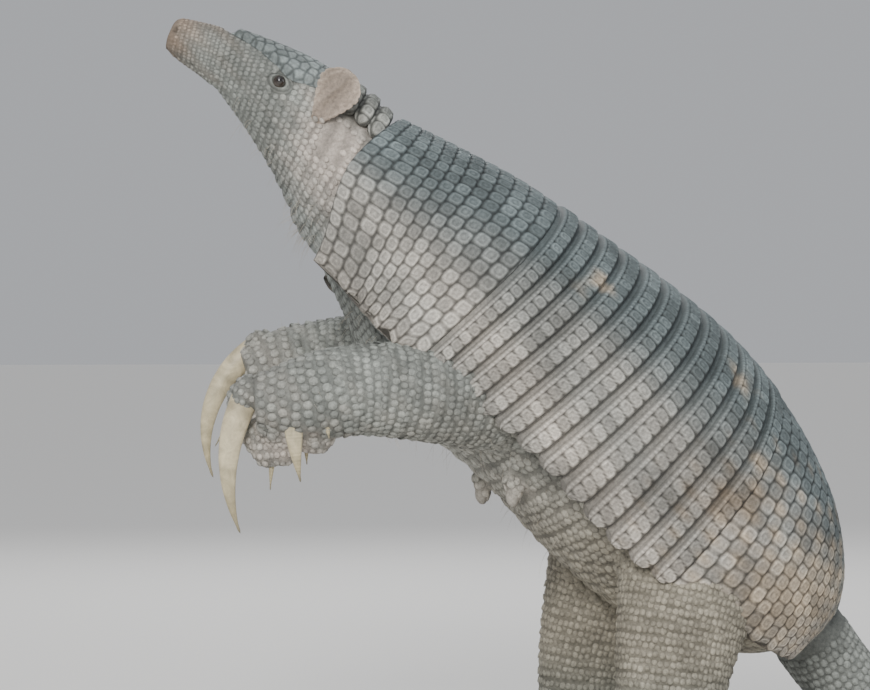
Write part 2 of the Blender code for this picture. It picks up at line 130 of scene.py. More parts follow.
def on_body(stations, u, angle, lift=0.0, shell=False, bow=None):
    """Points at u along and angle round, raised by lift above the body's outline."""
    u, angle, lift = np.broadcast_arrays(u, angle, lift)
    shape = u.shape
    u, angle, lift = u.ravel(), angle.ravel(), lift.ravel()
    s = curve(stations, u)
    down = np.stack([s[:, 2] - s[:, 0], 0 * u, s[:, 3] - s[:, 1]], -1)
    depth = np.linalg.norm(down, axis=1)
    down /= depth[:, None]
    high = WIDEST * depth
    low = depth * (SHELL_DEPTH if shell else 1 - WIDEST)
    level = -np.cos(np.abs(angle))
    side = np.sin(np.abs(angle))
    reach = np.where(level < 0, high, low)
    nx, nz = side / s[:, 4], level / reach
    size = np.hypot(nx, nz)
    y = np.sign(angle) * (s[:, 4] * side + nx / size * lift)
    z = high + reach * level + nz / size * lift
    p = np.stack([s[:, 0], y, s[:, 1]], -1) + down * z[:, None]
    if bow is not None:
        p = p + bow.reshape(-1, 3)
    return (turn(p) + HOME).reshape(shape + (3,))


SHELL_REAR = 0.985
rear = on_body(TRUNK, np.array([SHELL_REAR]), np.array([0.0]))[0]

# %% [markdown]
# ## Building a mesh from arrays
# Thousands of points are quicker to make as number arrays than one by one. Each mesh also keeps
# numbers on its points, such as how raised the surface is there, and the materials read them:
# low places get painted shade, and raised places a painted highlight.

# %% Mesh helpers
def grid_faces(rows, columns, wrap_rows=False, wrap_columns=False):
    """Four-sided faces of a grid of points, joined end to end where it wraps."""
    i = np.arange(rows if wrap_rows else rows - 1)
    j = np.arange(columns if wrap_columns else columns - 1)
    i, j = [g.ravel() for g in np.meshgrid(i, j, indexing="ij")]
    i2, j2 = (i + 1) % rows, (j + 1) % columns
    corners = [i * columns + j, i * columns + j2, i2 * columns + j2, i2 * columns + j]
    return np.stack(corners, -1).tolist()


def face_outwards(mesh):
    """Turns every face of the mesh to look out of it."""
    bm = bmesh.new()
    bm.from_mesh(mesh)
    bmesh.ops.recalc_face_normals(bm, faces=bm.faces)
    bm.to_mesh(mesh)
    bm.free()


def piece(name, points, faces, material, replaces=(), slot=None, **values):
    """A smooth shaded piece with numbers on its points."""
    mesh = bpy.data.meshes.new(name)
    mesh.from_pydata(np.asarray(points).reshape(-1, 3).tolist(), [], faces)
    for key, value in values.items():
        value = np.asarray(value, dtype=float)
        if key == "marking":
            colour = mesh.attributes.new(key, "FLOAT_COLOR", "POINT")
            full = np.ones((len(mesh.vertices), 4))
            full[:, :3] = value.reshape(-1, 3)
            colour.data.foreach_set("color", full.ravel())
        else:
            number = mesh.attributes.new(key, "FLOAT", "POINT")
            number.data.foreach_set("value", value.ravel())
    mesh.materials.append(material)
    mesh.shade_smooth()
    face_outwards(mesh)
    obj = bpy.data.objects.new(name, mesh)
    bpy.context.scene.collection.objects.link(obj)
    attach(obj, "root")
    if replaces:
        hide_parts(*replaces)
    return obj

# %% [markdown]
# ## Small sums used everywhere
# Soft steps and blends shape both the surface and its colours. Natural patterns also need
# chance that is the same on every run, so it is worked out from a tile's own row and column.

# %% Blends, steps and steady chance
SCATTER_STEPS = (12.9898, 78.233, 37.719)
SCATTER_STRETCH = 43758.5453


def blend(a, b, share):
    """a where share is 0, b where it is 1."""
    return a + (b - a) * share


def smooth_step(low, high, x):
    t = np.clip((x - low) / (high - low), 0, 1)
    return t * t * (3 - 2 * t)


def scatter(*numbers):
    """A steady made-up number from 0 to 1 for each set of whole numbers."""
    mix = sum(np.asarray(n) * k for n, k in zip(numbers, SCATTER_STEPS))
    return np.modf(np.abs(np.sin(mix) * SCATTER_STRETCH))[0]


print("made-up numbers:", scatter(np.arange(4), 1).round(2))

# %% [markdown]
# ## Markings
# Shell, skin and scales must agree on colour, or the coat looks like it belongs to another animal.
# So one function gives the colour of any place on the body. It starts from slate grey and lays
# soft patches over it: pale flanks, a tan nose, bare pinkish skin behind the ear, a sandy rump.

# %% Colours of the hide
SLATE = np.array([0.132, 0.160, 0.164])
SLATE_WARM = np.array([0.212, 0.224, 0.206])
BEIGE = np.array([0.430, 0.395, 0.345])
SAND = np.array([0.520, 0.420, 0.300])
SMUDGE = np.array([0.185, 0.140, 0.095])
PINK = np.array([0.470, 0.405, 0.350])
EAR_PINK = np.array([0.440, 0.355, 0.285])
SNOUT_TAN = np.array([0.290, 0.205, 0.145])
UNDERSIDE = np.array([0.300, 0.285, 0.245])
LEG_TAN = np.array([0.275, 0.250, 0.195])
LEG_DARK = np.array([0.120, 0.135, 0.122])
THROAT_GREY = np.array([0.200, 0.215, 0.208])


print("slate:", SLATE, "warm slate:", SLATE_WARM)

# %% [markdown]
# ## Patches of colour
# Each patch is a soft ball of colour round a place on the body, named by where it lies. Its edge
# is made ragged by two slow waves, as dust and stains are. A stronger patch hides more below it.

# %% Where the patches lie
def head_point(stations, u, degrees):
    angle = np.array([math.radians(degrees)])
    return on_body(stations, np.array([u]), angle)[0]


def patch(points, centre, radius, warp=0.3):
    """1 at the centre of a soft, slightly ragged patch, 0 well outside it."""
    away = points - centre
    ragged = np.sin(points[..., 0] * 173 + points[..., 2] * 97)
    ragged = ragged * np.sin(points[..., 1] * 151 - points[..., 2] * 119)
    distance = np.linalg.norm(away / radius, axis=-1) * (1 + warp * ragged)
    return np.exp(-distance ** 2 * 1.4)


def on_right(x, y, z):
    """A place of the unbent forebody, where the bend takes it."""
    return turn(np.array([(x, y, z)]))[0] + HOME


TEATS = on_body(TRUNK, np.array([0.463, 0.455]), np.radians([-156, 170]), -0.010)
SKIN_PATCHES = [
    (head_point(HEAD, 0.0, 0), (0.050, 0.050, 0.050), SNOUT_TAN, 0.75),
    (head_point(HEAD, 0.0, 180), (0.030, 0.030, 0.040), SNOUT_TAN, 0.80),
    (head_point(NECK, 0.30, -85), (0.060, 0.050, 0.055), PINK, 0.85),
    (head_point(NECK, 0.30, 85), (0.060, 0.050, 0.055), PINK, 0.85),
    (head_point(NECK, 0.90, -100), (0.040, 0.050, 0.045), PINK, 0.55),
    (head_point(NECK, 0.90, 100), (0.040, 0.050, 0.045), PINK, 0.55),
    (head_point(NECK, 0.80, 170), (0.070, 0.070, 0.070), THROAT_GREY, 0.60),
    (HOME + (-0.20, 0.0, 0.36), (0.12, 0.22, 0.050), UNDERSIDE, 0.55),
    (HOME + (-0.10, 0.0, 0.30), (0.16, 0.20, 0.080), UNDERSIDE, 0.70),
    (on_right(-0.31, -0.108, 0.352), (0.046, 0.045, 0.026), PINK, 0.85),
    (on_right(-0.33, 0.104, 0.386), (0.046, 0.045, 0.026), PINK, 0.85),
    (on_right(-0.33, -0.115, 0.400), (0.040, 0.045, 0.040), BEIGE, 0.45),
    (on_right(-0.34, 0.110, 0.430), (0.050, 0.050, 0.045), BEIGE, 0.60),
    (TEATS[0] + (0, 0, -0.012), (0.017, 0.017, 0.021), BEIGE * 1.25, 0.95),
    # the far teat is painted paler than the near one, painted light where it sits in shade
    (TEATS[1] + (0, 0, -0.012), (0.017, 0.017, 0.021), BEIGE * 1.35, 0.95),
]
SHELL_PATCHES = [
    (HOME + (0.080, -0.13, 0.296), (0.058, 0.08, 0.034), SMUDGE, 0.90),
    (HOME + (0.150, -0.10, 0.198), (0.105, 0.10, 0.060), SAND, 0.95),
    (HOME + (0.150, 0.11, 0.190), (0.085, 0.09, 0.062), SAND, 0.80),
    (HOME + (-0.058, -0.10, 0.510), (0.017, 0.04, 0.008), SAND, 0.95),
    (HOME + (0.098, -0.10, 0.410), (0.010, 0.04, 0.017), SAND, 0.80),
    (HOME + (0.111, -0.12, 0.330), (0.013, 0.04, 0.014), SAND, 0.80),
    (HOME + (0.060, 0.12, 0.300), (0.045, 0.06, 0.028), SMUDGE, 0.50),
]

# %% [markdown]
# ## Colour of any point
# The bare skin turns tan down the legs and darker near the ground. The shell turns from slate to
# dusty beige towards its lower edge. Both then take their patches, in the order listed.

# %% Skin and shell colours
def skin_colour(points):
    """Colour of the bare hide at each point, without the plates."""
    z = points[..., 2]
    x = points[..., 0] - HOME[0]
    colour = np.broadcast_to(SLATE_WARM, points.shape).copy()
    legs = smooth_step(0.34, 0.26, z) * smooth_step(0.22, 0.16, x)
    colour = blend(colour, LEG_TAN, legs[..., None])
    low = smooth_step(0.16, 0.05, z) * smooth_step(0.20, 0.14, x)
    colour = blend(colour, LEG_DARK, 0.75 * low[..., None])
    for centre, radius, tint, strength in SKIN_PATCHES:
        share = patch(points, centre, np.array(radius)) * strength
        colour = blend(colour, tint, share[..., None])
    return colour


def shell_colour(points, across):
    """Colour of the shell: slate above, dusty beige towards its lower edge."""
    dusty = smooth_step(0.50, 0.97, np.abs(across))
    ragged = np.sin(points[..., 0] * 61 + points[..., 2] * 47) * 0.18
    dusty = np.clip(dusty * (0.86 + ragged), 0, 1)
    colour = blend(SLATE, BEIGE, dusty[..., None])
    for centre, radius, tint, strength in SHELL_PATCHES:
        share = patch(points, centre, np.array(radius), 0.45) * strength
        colour = blend(colour, tint, share[..., None])
    return colour


print("patches on skin and shell:", len(SKIN_PATCHES), len(SHELL_PATCHES))

# %% [markdown]
# ## Material of the hide
# A hide isn't one colour: fine mottling, a painted highlight on what stands up and painted shade
# in the grooves. A painted image could hold that, but nodes need no file and stay sharp close up.
# The colour starts from the markings, and the raised number on each point lightens or darkens it
# as painted light and shade.

# %% Node helpers
# which sockets of a colour mix take the two colours, and which gives the result
FIRST_COLOUR, SECOND_COLOUR, MIXED = 6, 7, 2


def link(tree, a, out, b, into):
    tree.links.new(a.outputs[out], b.inputs[into])


def noise_node(tree, position, scale, detail=4.0, roughness=0.6):
    noise = tree.nodes.new("ShaderNodeTexNoise")
    noise.inputs["Scale"].default_value = scale
    noise.inputs["Detail"].default_value = detail
    noise.inputs["Roughness"].default_value = roughness
    link(tree, position, "Object", noise, "Vector")
    return noise


def ramp_node(tree, source, out, stops):
    ramp = tree.nodes.new("ShaderNodeValToRGB")
    while len(ramp.color_ramp.elements) < len(stops):
        ramp.color_ramp.elements.new(0.5)
    for element, (place, colour) in zip(ramp.color_ramp.elements, stops):
        element.position = place
        element.color = (*colour, 1) if len(colour) == 3 else colour
    link(tree, source, out, ramp, "Fac")
    return ramp


def multiplied(tree, first, first_out, second, second_out):
    """The product of two colours."""
    mix = tree.nodes.new("ShaderNodeMix")
    mix.data_type = "RGBA"
    mix.blend_type = "MULTIPLY"
    mix.inputs["Factor"].default_value = 1.0
    link(tree, first, first_out, mix, FIRST_COLOUR)
    link(tree, second, second_out, mix, SECOND_COLOUR)
    return mix


def bump_node(tree, source, distance, strength):
    """Small relief from a pattern, of that height in metres."""
    bump = tree.nodes.new("ShaderNodeBump")
    bump.inputs["Distance"].default_value = distance
    bump.inputs["Strength"].default_value = strength
    link(tree, source, "Fac", bump, "Height")
    return bump


def new_material(name):
    """A material with its node tree, its shader and a node for the place on the object."""
    material = bpy.data.materials.new(name)
    material.use_nodes = True
    tree = material.node_tree
    return material, tree, tree.nodes["Principled BSDF"], tree.nodes.new("ShaderNodeTexCoord")


def read_node(tree, name):
    node = tree.nodes.new("ShaderNodeAttribute")
    node.attribute_name = name
    return node


def grey(value):
    return (value, value, value)


print("a mix node's colour sockets:", FIRST_COLOUR, SECOND_COLOUR, MIXED)

# %% [markdown]
# ## The hide's layers
# From the bottom up: the marking, broad mottling, a shade of its own for each tile, painted shade in
# the grooves and a painted highlight on the rims, and fine speckle. Each layer multiplies the one
# below, so none can wash the markings out. Roughness follows the speckle, and two bumps add the
# grain.

# %% Hide material
def hide_material(name, groove=0.30, mottling=0.45, fine=900.0, bump=0.0006, rough=0.74,
                  speckle=0.30, specular=0.35):
    """Dusty horn or leather that takes its colour from the markings."""
    material, tree, shader, position = new_material(name)
    broad = noise_node(tree, position, 14.0, 5.0)
    broad_ramp = ramp_node(tree, broad, "Fac", [(0.30, grey(1 - mottling)), (0.70, grey(1.18))])
    colour = multiplied(tree, read_node(tree, "marking"), "Color", broad_ramp, "Color")

    tone_ramp = ramp_node(tree, read_node(tree, "tone"), "Fac", [(0.0, grey(0.80)),
                                                                 (1.0, grey(1.20))])
    colour = multiplied(tree, colour, MIXED, tone_ramp, "Color")

    # painted shade where the relief is low, and a painted highlight where it is high
    stops = [(0.0, grey(groove)), (0.50, grey(0.72)), (0.80, grey(1.04)), (1.0, grey(1.42))]
    painted_light_ramp = ramp_node(tree, read_node(tree, "relief"), "Fac", stops)
    colour = multiplied(tree, colour, MIXED, painted_light_ramp, "Color")

    dots = noise_node(tree, position, 320.0, 6.0, 0.7)
    dots_ramp = ramp_node(tree, dots, "Fac", [(0.35, grey(1 - speckle)), (0.68, grey(1 + speckle))])
    colour = multiplied(tree, colour, MIXED, dots_ramp, "Color")
    link(tree, colour, MIXED, shader, "Base Color")

    rough_ramp = ramp_node(tree, dots, "Fac", [(0.3, grey(rough - 0.10)), (0.7, grey(rough + 0.12))])
    link(tree, rough_ramp, "Color", shader, "Roughness")
    shader.inputs["Specular IOR Level"].default_value = specular

    grain = noise_node(tree, position, fine, 5.0, 0.65)
    coarse_bump = bump_node(tree, dots, bump * 1.6, 0.55)
    fine_bump = bump_node(tree, grain, bump * 0.6, 0.6)
    link(tree, coarse_bump, "Normal", fine_bump, "Normal")
    link(tree, fine_bump, "Normal", shader, "Normal")
    return material


shell_horn = hide_material("shell_horn", groove=0.26, rough=0.70)
crown_horn = hide_material("crown_horn", groove=0.55, rough=0.66, mottling=0.35)
bare_skin = hide_material("bare_skin", groove=0.42, fine=700.0, rough=0.80, bump=0.0009)
skin_scale = hide_material("skin_scale", groove=0.55, rough=0.72, mottling=0.35)
print("hide materials:", shell_horn.name, crown_horn.name, bare_skin.name, skin_scale.name)

# %% [markdown]
# ## Scutes
# The shell is made of bony tiles, the scutes. Each is a rounded square with a raised rim and a
# low crown in the middle, set off by a groove. Modelling each tile as its own object would give
# thousands of pieces. A height rule on a fine grid gives the same form in one closed plate.

# %% Height of a tile
def tile(along, across, seed=0.0):
    """Height 0 to 1 and a made-up shade for a brick pattern of rounded squares."""
    row = np.floor(along)
    shifted = across + 0.5 * np.mod(row, 2)
    column = np.floor(shifted)
    x = np.abs(shifted - column - 0.5) * 2
    y = np.abs(along - row - 0.5) * 2
    edge = (x ** 3.6 + y ** 3.6) ** (1 / 3.6)
    shade = scatter(row, column, seed)
    places = [0.0, 0.22, 0.42, 0.62, 0.80, 0.94, 1.05]
    heights = [0.92, 0.80, 0.58, 1.00, 0.86, 0.22, 0.0]
    return np.interp(edge, places, heights) * (0.86 + 0.14 * shade), shade


print("height in a tile's middle:", tile(np.array([0.5]), np.array([0.5]))[0].round(2))

# %% [markdown]
# ## A closed plate
# A plate needs a thickness, or light leaks through it and its edges look like paper. The outer
# grid is rolled round its front and rear edges into a coarse inner face, and the two side ends
# are capped. Tiles are spaced by true distance round the body, so they don't stretch.

# %% Plates with thickness
def shell_edge(u):
    """Angle from the top at which the shell ends."""
    covered = curve(TRUNK, u)[:, 5]
    return math.pi / 2 + np.arcsin(np.minimum((covered - WIDEST) / SHELL_DEPTH, 0.98))


def even(flat):
    """Share of the way round each row of a grid, from 0 to 1, by true distance."""
    step = np.linalg.norm(np.diff(flat, axis=1), axis=-1)
    way = np.hstack([np.zeros((len(flat), 1)), np.cumsum(step, axis=1)])
    return way / way[:, -1:]


PLATE = 0.008
INNER_ROWS = 5


def closed_plate(name, stations, u, angle, lift, shell, depth, relief, tone, material, node,
                 bow=None, colour=None):
    """A plate whose outer face is the given grid, closed by an inner face and both ends."""
    rows, columns = u.shape
    outer = on_body(stations, u, angle, lift, shell, bow)
    pick = np.linspace(rows - 1, 0, INNER_ROWS).round().astype(int)
    inner_bow = None if bow is None else bow[pick]
    inner = on_body(stations, u[pick], angle[pick], -depth[pick], shell, inner_bow)
    points = np.concatenate([outer, inner]).reshape(-1, 3)
    total = rows + INNER_ROWS
    faces = grid_faces(total, columns, wrap_rows=True)
    faces.append([r * columns for r in range(total)])
    faces.append([r * columns + columns - 1 for r in range(total)])
    # the inner face takes the outer colour darkened, a painted shade under the plate
    full = np.concatenate([colour, colour[pick] * 0.8]).reshape(-1, 3)
    relief = np.concatenate([relief, np.full((INNER_ROWS, columns), 0.45)])
    tone = np.concatenate([tone, np.full((INNER_ROWS, columns), 0.4)])
    return piece(name, points, faces, material, [node], node,
                 marking=full, relief=relief, tone=tone)

# %% [markdown]
# ## The two solid shields
# The shoulder and hip shields are rigid. Their tiles run in curved rows, with the same number of
# tiles in every row, so the tiles shrink where the shield narrows. The lower edge is cut in lobes
# by the tiles themselves, and every row stands a little above the next one, like roof tiles.

# %% Shoulder and hip shields
BAND_START = 0.267
BAND_END = 0.622
SEAM = 0.0016
LOBE = 0.045
LOBE_REACH = 0.018
TILE_HEIGHT = 0.0021
ROW_RISE = 0.0008
GROOVE_DEPTH = 0.0009
EDGE_THICK = 0.003
REAR_THICK = 0.0014
# the right side's front corner is rounded this much more than the left's
RIGHT_CORNER = 1.7


def shield(name, start, end, tile_rows, tile_columns, rows, columns, bow_size=0.0,
           corner_size=0.0):
    """One of the rigid shields, with its rows of tiles."""
    along = np.linspace(0, 1, rows)[:, None] * np.ones((1, columns))
    across = np.linspace(-1, 1, columns)[None, :] * np.ones((rows, 1))
    corner = smooth_step(0.60, 1.0, np.abs(across)) ** 2 * corner_size
    corner = corner * np.where(across > 0, RIGHT_CORNER, 1.0)
    u = start + (end - start) * (along + (1 - along) ** 2 * corner)
    edge = shell_edge(u.ravel()).reshape(u.shape)
    lobes = 0.5 + 0.5 * np.cos(2 * math.pi * u / LOBE)
    near_edge = smooth_step(0.86, 1.0, np.abs(across))
    angle = across * (edge + 2 * LOBE_REACH * lobes * near_edge)
    bow = None
    if bow_size:
        side = np.sin(np.minimum(np.abs(angle), math.pi / 2)) ** 2
        forward = np.array([-0.84, 0, 0.54]) * bow_size
        bow = forward * (side * smooth_step(0.30, 0.0, along))[..., None]
    flat = on_body(TRUNK, u, angle, 0.0, True, bow)
    unlobed = on_body(TRUNK, u, across * edge, 0.0, True, bow)
    wave = 0.16 * np.sin(across * 7.0) + 0.06 * np.sin(across * 17.0)
    height, shade = tile(along * tile_rows + wave * 0.5, even(unlobed) * tile_columns, tile_rows)
    row_rise = np.modf(along * tile_rows + wave * 0.5)[0]
    lift = height * TILE_HEIGHT + row_rise * ROW_RISE - GROOVE_DEPTH
    rim = smooth_step(0.985, 1.0, np.abs(across))
    front_rim = smooth_step(0.02, 0.0, along) + smooth_step(0.985, 1.0, along)
    lift = lift - 0.003 * rim - 0.0015 * front_rim
    depth = blend(PLATE, EDGE_THICK, smooth_step(0.90, 1.0, np.abs(across)))
    depth = blend(depth, REAR_THICK, smooth_step(0.97, 1.0, along))
    colour = shell_colour(flat, across)
    return closed_plate(name + "_scutes", TRUNK, u, angle, lift, True, depth, height, shade,
                        shell_horn, name, bow, colour)


coarse = 1
shoulder = shield("shoulder_shield", 0.0, BAND_START + SEAM, 12, 37, 160 // coarse,
                  420 // coarse, 0.018, 0.17)
hips = shield("hip_shield", BAND_END + SEAM / 2, SHELL_REAR, 17, 39, 200 // coarse, 420 // coarse)
print("shield faces:", len(shoulder.data.polygons), len(hips.data.polygons))

# %% [markdown]
# ## The moving bands
# Between the shields the shell folds. Each band has a smooth sunken strip in front, where the
# band before it slides over, then a step with fine upright lines, and then a raised row of
# tiles that ends in a thin free edge. A profile of heights from front to rear says all that.

# %% Twelve bands
BAND_COUNT = 12
BAND_WIDTH = (BAND_END - BAND_START) / BAND_COUNT
PROFILE_AT = [0.0, 0.05, 0.25, 0.30, 0.37, 0.46, 0.90, 0.97, 1.0]
PROFILE = [-0.0036, -0.0028, -0.0024, 0.0022, 0.0029, 0.0025, 0.0029, 0.0020, 0.0010]
BAND_TILES = 57
OVERLAP = 0.0030


def band(number):
    """One moving band, rounded at its lower ends."""
    rows, columns = 32 // coarse, 520 // coarse
    front = BAND_START + number * BAND_WIDTH + SEAM / 2
    rear = front + BAND_WIDTH - SEAM + OVERLAP
    along = np.linspace(0, 1, rows)[:, None] * np.ones((1, columns))
    across = np.linspace(-1, 1, columns)[None, :] * np.ones((rows, 1))
    tip = np.clip((np.abs(across) - 0.970) / 0.030, 0, 1)
    narrow = np.sqrt(np.maximum(1 - 0.90 * tip ** 2.4, 0.05))
    u = (front + rear) / 2 + (rear - front) * (along - 0.5) * narrow
    edge = shell_edge(np.full(u.size, (front + rear) / 2)).reshape(u.shape)
    angle = across * (edge + 0.012)
    lift = np.interp(along, PROFILE_AT, PROFILE)
    flat = on_body(TRUNK, u, angle, 0.0, True)
    plateau = smooth_step(0.41, 0.46, along) * smooth_step(1.0, 0.95, along)
    count = even(flat) * BAND_TILES + 0.5 * (number % 2)
    height, shade = tile((along - 0.41) / 0.58, count, number)
    lift = lift + plateau * (height - 0.6) * 0.0024
    comb = np.abs(np.modf(count * 2.5)[0] - 0.5) * 2
    ridge = smooth_step(0.26, 0.31, along) * smooth_step(0.44, 0.40, along)
    lift = lift + ridge * (comb - 0.5) * 0.0008 - 0.003 * tip ** 2
    # painted shade: the sunk front strip, under the band before, and the free rear edge get low
    # relief; tile tops get a painted highlight
    sunk = smooth_step(0.28, 0.24, along)
    relief = 0.50 * sunk + ridge * (0.62 + 0.38 * comb) + plateau * height
    relief = relief * smooth_step(1.03, 0.975, along)
    depth = blend(PLATE, EDGE_THICK, smooth_step(0.90, 1.0, np.abs(across)))
    depth = blend(depth, REAR_THICK, smooth_step(0.70, 0.98, along))
    colour = shell_colour(flat, across)
    name = f"shell_band_{number + 1:02d}"
    return closed_plate(name + "_scutes", TRUNK, u, angle, lift, True, depth,
                        np.clip(relief, 0, 1), shade * plateau + 0.5 * (1 - plateau),
                        shell_horn, name, None, colour)

# %% [markdown]
# ## All twelve bands
# The bands differ only in where they start, so one rule makes them all. Every second band has
# its tiles shifted by half a tile.

# %% Make the bands
bands = [band(number) for number in range(BAND_COUNT)]
print("band faces:", sum(len(b.data.polygons) for b in bands))

# %% [markdown]
# ## Nape bands
# Three short rows of bony bumps cover the back of the neck, behind the ears. They are made as
# the bands are, on the sections of the neck, but with fewer and rounder tiles.

# %% Three nape bands
NAPE = 0.005
NAPE_FIRST = 0.10
NAPE_LAST = 0.90
NAPE_REACH = math.radians(55)


def nape_band(number):
    rows, columns = 34 // coarse, 110 // coarse
    width = (NAPE_LAST - NAPE_FIRST) / 3
    front = NAPE_FIRST + number * width + 0.01
    along = np.linspace(0, 1, rows)[:, None] * np.ones((1, columns))
    across = np.linspace(-1, 1, columns)[None, :] * np.ones((rows, 1))
    tip = np.clip((np.abs(across) - 0.86) / 0.14, 0, 1)
    narrow = np.sqrt(np.maximum(1 - tip ** 2, 0.05))
    u = front + width * 0.48 + width * 1.03 * (along - 0.5) * narrow
    angle = across * NAPE_REACH
    height, shade = tile((along - 0.18) / 0.80, (across + 1) / 2 * 9 + 0.5 * (number % 2), number)
    body = np.interp(along, [0, 0.2, 0.5, 0.9, 1.0], [0.0, 0.0015, 0.0042, 0.0040, 0.0018])
    lift = body + smooth_step(0.14, 0.24, along) * height * 0.0018 - 0.004 * tip ** 2
    depth = np.full(u.shape, NAPE * 0.9)
    flat = on_body(NECK, u, angle)
    colour = blend(skin_colour(flat), SLATE_WARM * 1.15, 0.6)
    name = f"nape_band_{number + 1}"
    return closed_plate(name + "_scutes", NECK, u, angle, lift, False, depth, height, shade,
                        shell_horn, name, None, colour)


napes = [nape_band(number) for number in range(3)]
print("nape band faces:", sum(len(n.data.polygons) for n in napes))

# %% [markdown]
# ## Crown shield
# The top of the head carries a shield of uneven polygons, not rows. Cracked mud, giraffe hide
# and this shield share one pattern: each place belongs to its nearest centre, and the groove
# runs where two centres are equally near. The centres come from a shaken honeycomb.

# %% Crown shield
CROWN_FRONT = 0.40
CROWN_REAR = 0.965


def polygons(x, y, size, shake, seed):
    """Height 0 to 1 and a shade for uneven polygons about size across."""
    chance = np.random.default_rng(seed)
    across = np.arange(x.min() - size, x.max() + size, size)
    down = np.arange(y.min() - size, y.max() + size, size * 0.87)
    gx, gy = np.meshgrid(across, down)
    gx = gx + (np.arange(len(down))[:, None] % 2) * size / 2
    centres = np.stack([gx.ravel(), gy.ravel()], -1)
    centres += (chance.random(centres.shape) - 0.5) * size * shake
    shades = chance.random(len(centres))
    flat = np.stack([x.ravel(), y.ravel()], -1)
    away = np.linalg.norm(flat[:, None, :] - centres[None, :, :], axis=-1)
    order = np.argsort(away, axis=1)[:, :2]
    near = np.take_along_axis(away, order, axis=1)
    gap = (near[:, 1] - near[:, 0]) / size
    height = np.interp(gap, [0, 0.10, 0.24, 0.5, 1.0], [0.0, 0.45, 0.92, 1.0, 0.96])
    return height.reshape(x.shape), shades[order[:, 0]].reshape(x.shape)


def crown_reach(u):
    grow = np.minimum(1, 0.35 + 1.9 * (u - CROWN_FRONT))
    return math.radians(62) * grow * (1 - 1.7 * np.maximum(u - 0.78, 0))


def crown_shield():
    rows, columns = 150 // coarse, 130 // coarse
    along = np.linspace(0, 1, rows)[:, None] * np.ones((1, columns))
    across = np.linspace(-1, 1, columns)[None, :] * np.ones((rows, 1))
    u = CROWN_FRONT + (CROWN_REAR - CROWN_FRONT) * along
    angle = across * crown_reach(u)
    flat = on_body(HEAD, u, angle)
    step = np.linalg.norm(np.diff(flat, axis=0), axis=-1)
    length = np.vstack([np.zeros((1, columns)), np.cumsum(step, axis=0)])
    girth = np.linalg.norm(np.diff(flat, axis=1), axis=-1).cumsum(axis=1)
    girth = np.hstack([np.zeros((rows, 1)), girth])
    girth = girth - girth[:, columns // 2][:, None]
    middle = length[:, columns // 2][:, None] * np.ones((1, columns))
    height, shade = polygons(middle, girth, 0.0112, 0.55, 7)
    rim = smooth_step(0.84, 1.0, np.abs(across))
    rim = np.maximum(rim, smooth_step(0.09, 0.0, along))
    rim = np.maximum(rim, smooth_step(0.97, 1.0, along))
    lift = 0.0004 + height * 0.0011 * (1 - 0.4 * rim) - rim * 0.0062
    depth = np.full(u.shape, 0.0080)
    colour = blend(skin_colour(flat), SLATE * 0.95, 0.72)
    return closed_plate("crown_shield_scutes", HEAD, u, angle, lift, False, depth, height, shade,
                        crown_horn, "crown_shield", None, colour)


crown = crown_shield()
print("crown faces:", len(crown.data.polygons))

# %% [markdown]
# ## Flesh
# All the flesh is one skin, so no seam shows where a leg leaves the body. Rough closed forms are
# laid over each other: a tube for head, neck and trunk, tubes for legs and tail, and small balls
# for pads and toes. A voxel remesh then melts them into one surface, which is smoothed.

# %% Limb stations
# centre x, distance from the middle, centre z, half width, half height
FORE_LEFT = np.array([
    (-0.0850, 0.050, 0.4000, 0.050, 0.060),
    (-0.1400, 0.088, 0.4020, 0.046, 0.056),
    (-0.1950, 0.110, 0.4050, 0.041, 0.049),
    (-0.2500, 0.119, 0.4070, 0.038, 0.045),
    (-0.3030, 0.120, 0.3980, 0.037, 0.040),
    (-0.3450, 0.118, 0.3960, 0.030, 0.026),
])
FORE_RIGHT = np.array([
    (-0.0850, 0.050, 0.4150, 0.050, 0.060),
    (-0.1500, 0.088, 0.4320, 0.046, 0.056),
    (-0.2100, 0.108, 0.4400, 0.042, 0.048),
    (-0.2700, 0.115, 0.4370, 0.038, 0.042),
    (-0.3250, 0.113, 0.4280, 0.037, 0.039),
    (-0.3600, 0.108, 0.4150, 0.032, 0.030),
])
HIND = np.array([
    (0.0750, 0.078, 0.2600, 0.055, 0.085),
    (0.0600, 0.086, 0.2000, 0.052, 0.076),
    (0.0460, 0.091, 0.1500, 0.048, 0.066),
    (0.0370, 0.094, 0.1000, 0.045, 0.058),
    (0.0360, 0.096, 0.0550, 0.042, 0.053),
    (0.0360, 0.098, 0.0200, 0.036, 0.048),
])
FOOT = np.array([
    (0.0900, 0.099, 0.0240, 0.024, 0.024),
    (0.0600, 0.099, 0.0280, 0.034, 0.036),
    (0.0000, 0.102, 0.0260, 0.041, 0.036),
    (-0.0500, 0.106, 0.0180, 0.044, 0.025),
    (-0.0860, 0.108, 0.0130, 0.036, 0.016),
])
TAIL = np.array([
    (0.2405, 0, 0.1540, 0.0500, 0.0410),
    (0.2850, 0, 0.1000, 0.0450, 0.0400),
    (0.3400, 0, 0.0520, 0.0400, 0.0370),
    (0.4200, 0, 0.0310, 0.0350, 0.0305),
    (0.5100, 0, 0.0240, 0.0290, 0.0235),
    (0.6000, 0, 0.0180, 0.0220, 0.0176),
    (0.6800, 0, 0.0120, 0.0145, 0.0117),
    (0.7400, 0, 0.0065, 0.0065, 0.0062),
])
COAT_DEPTH = 0.0012


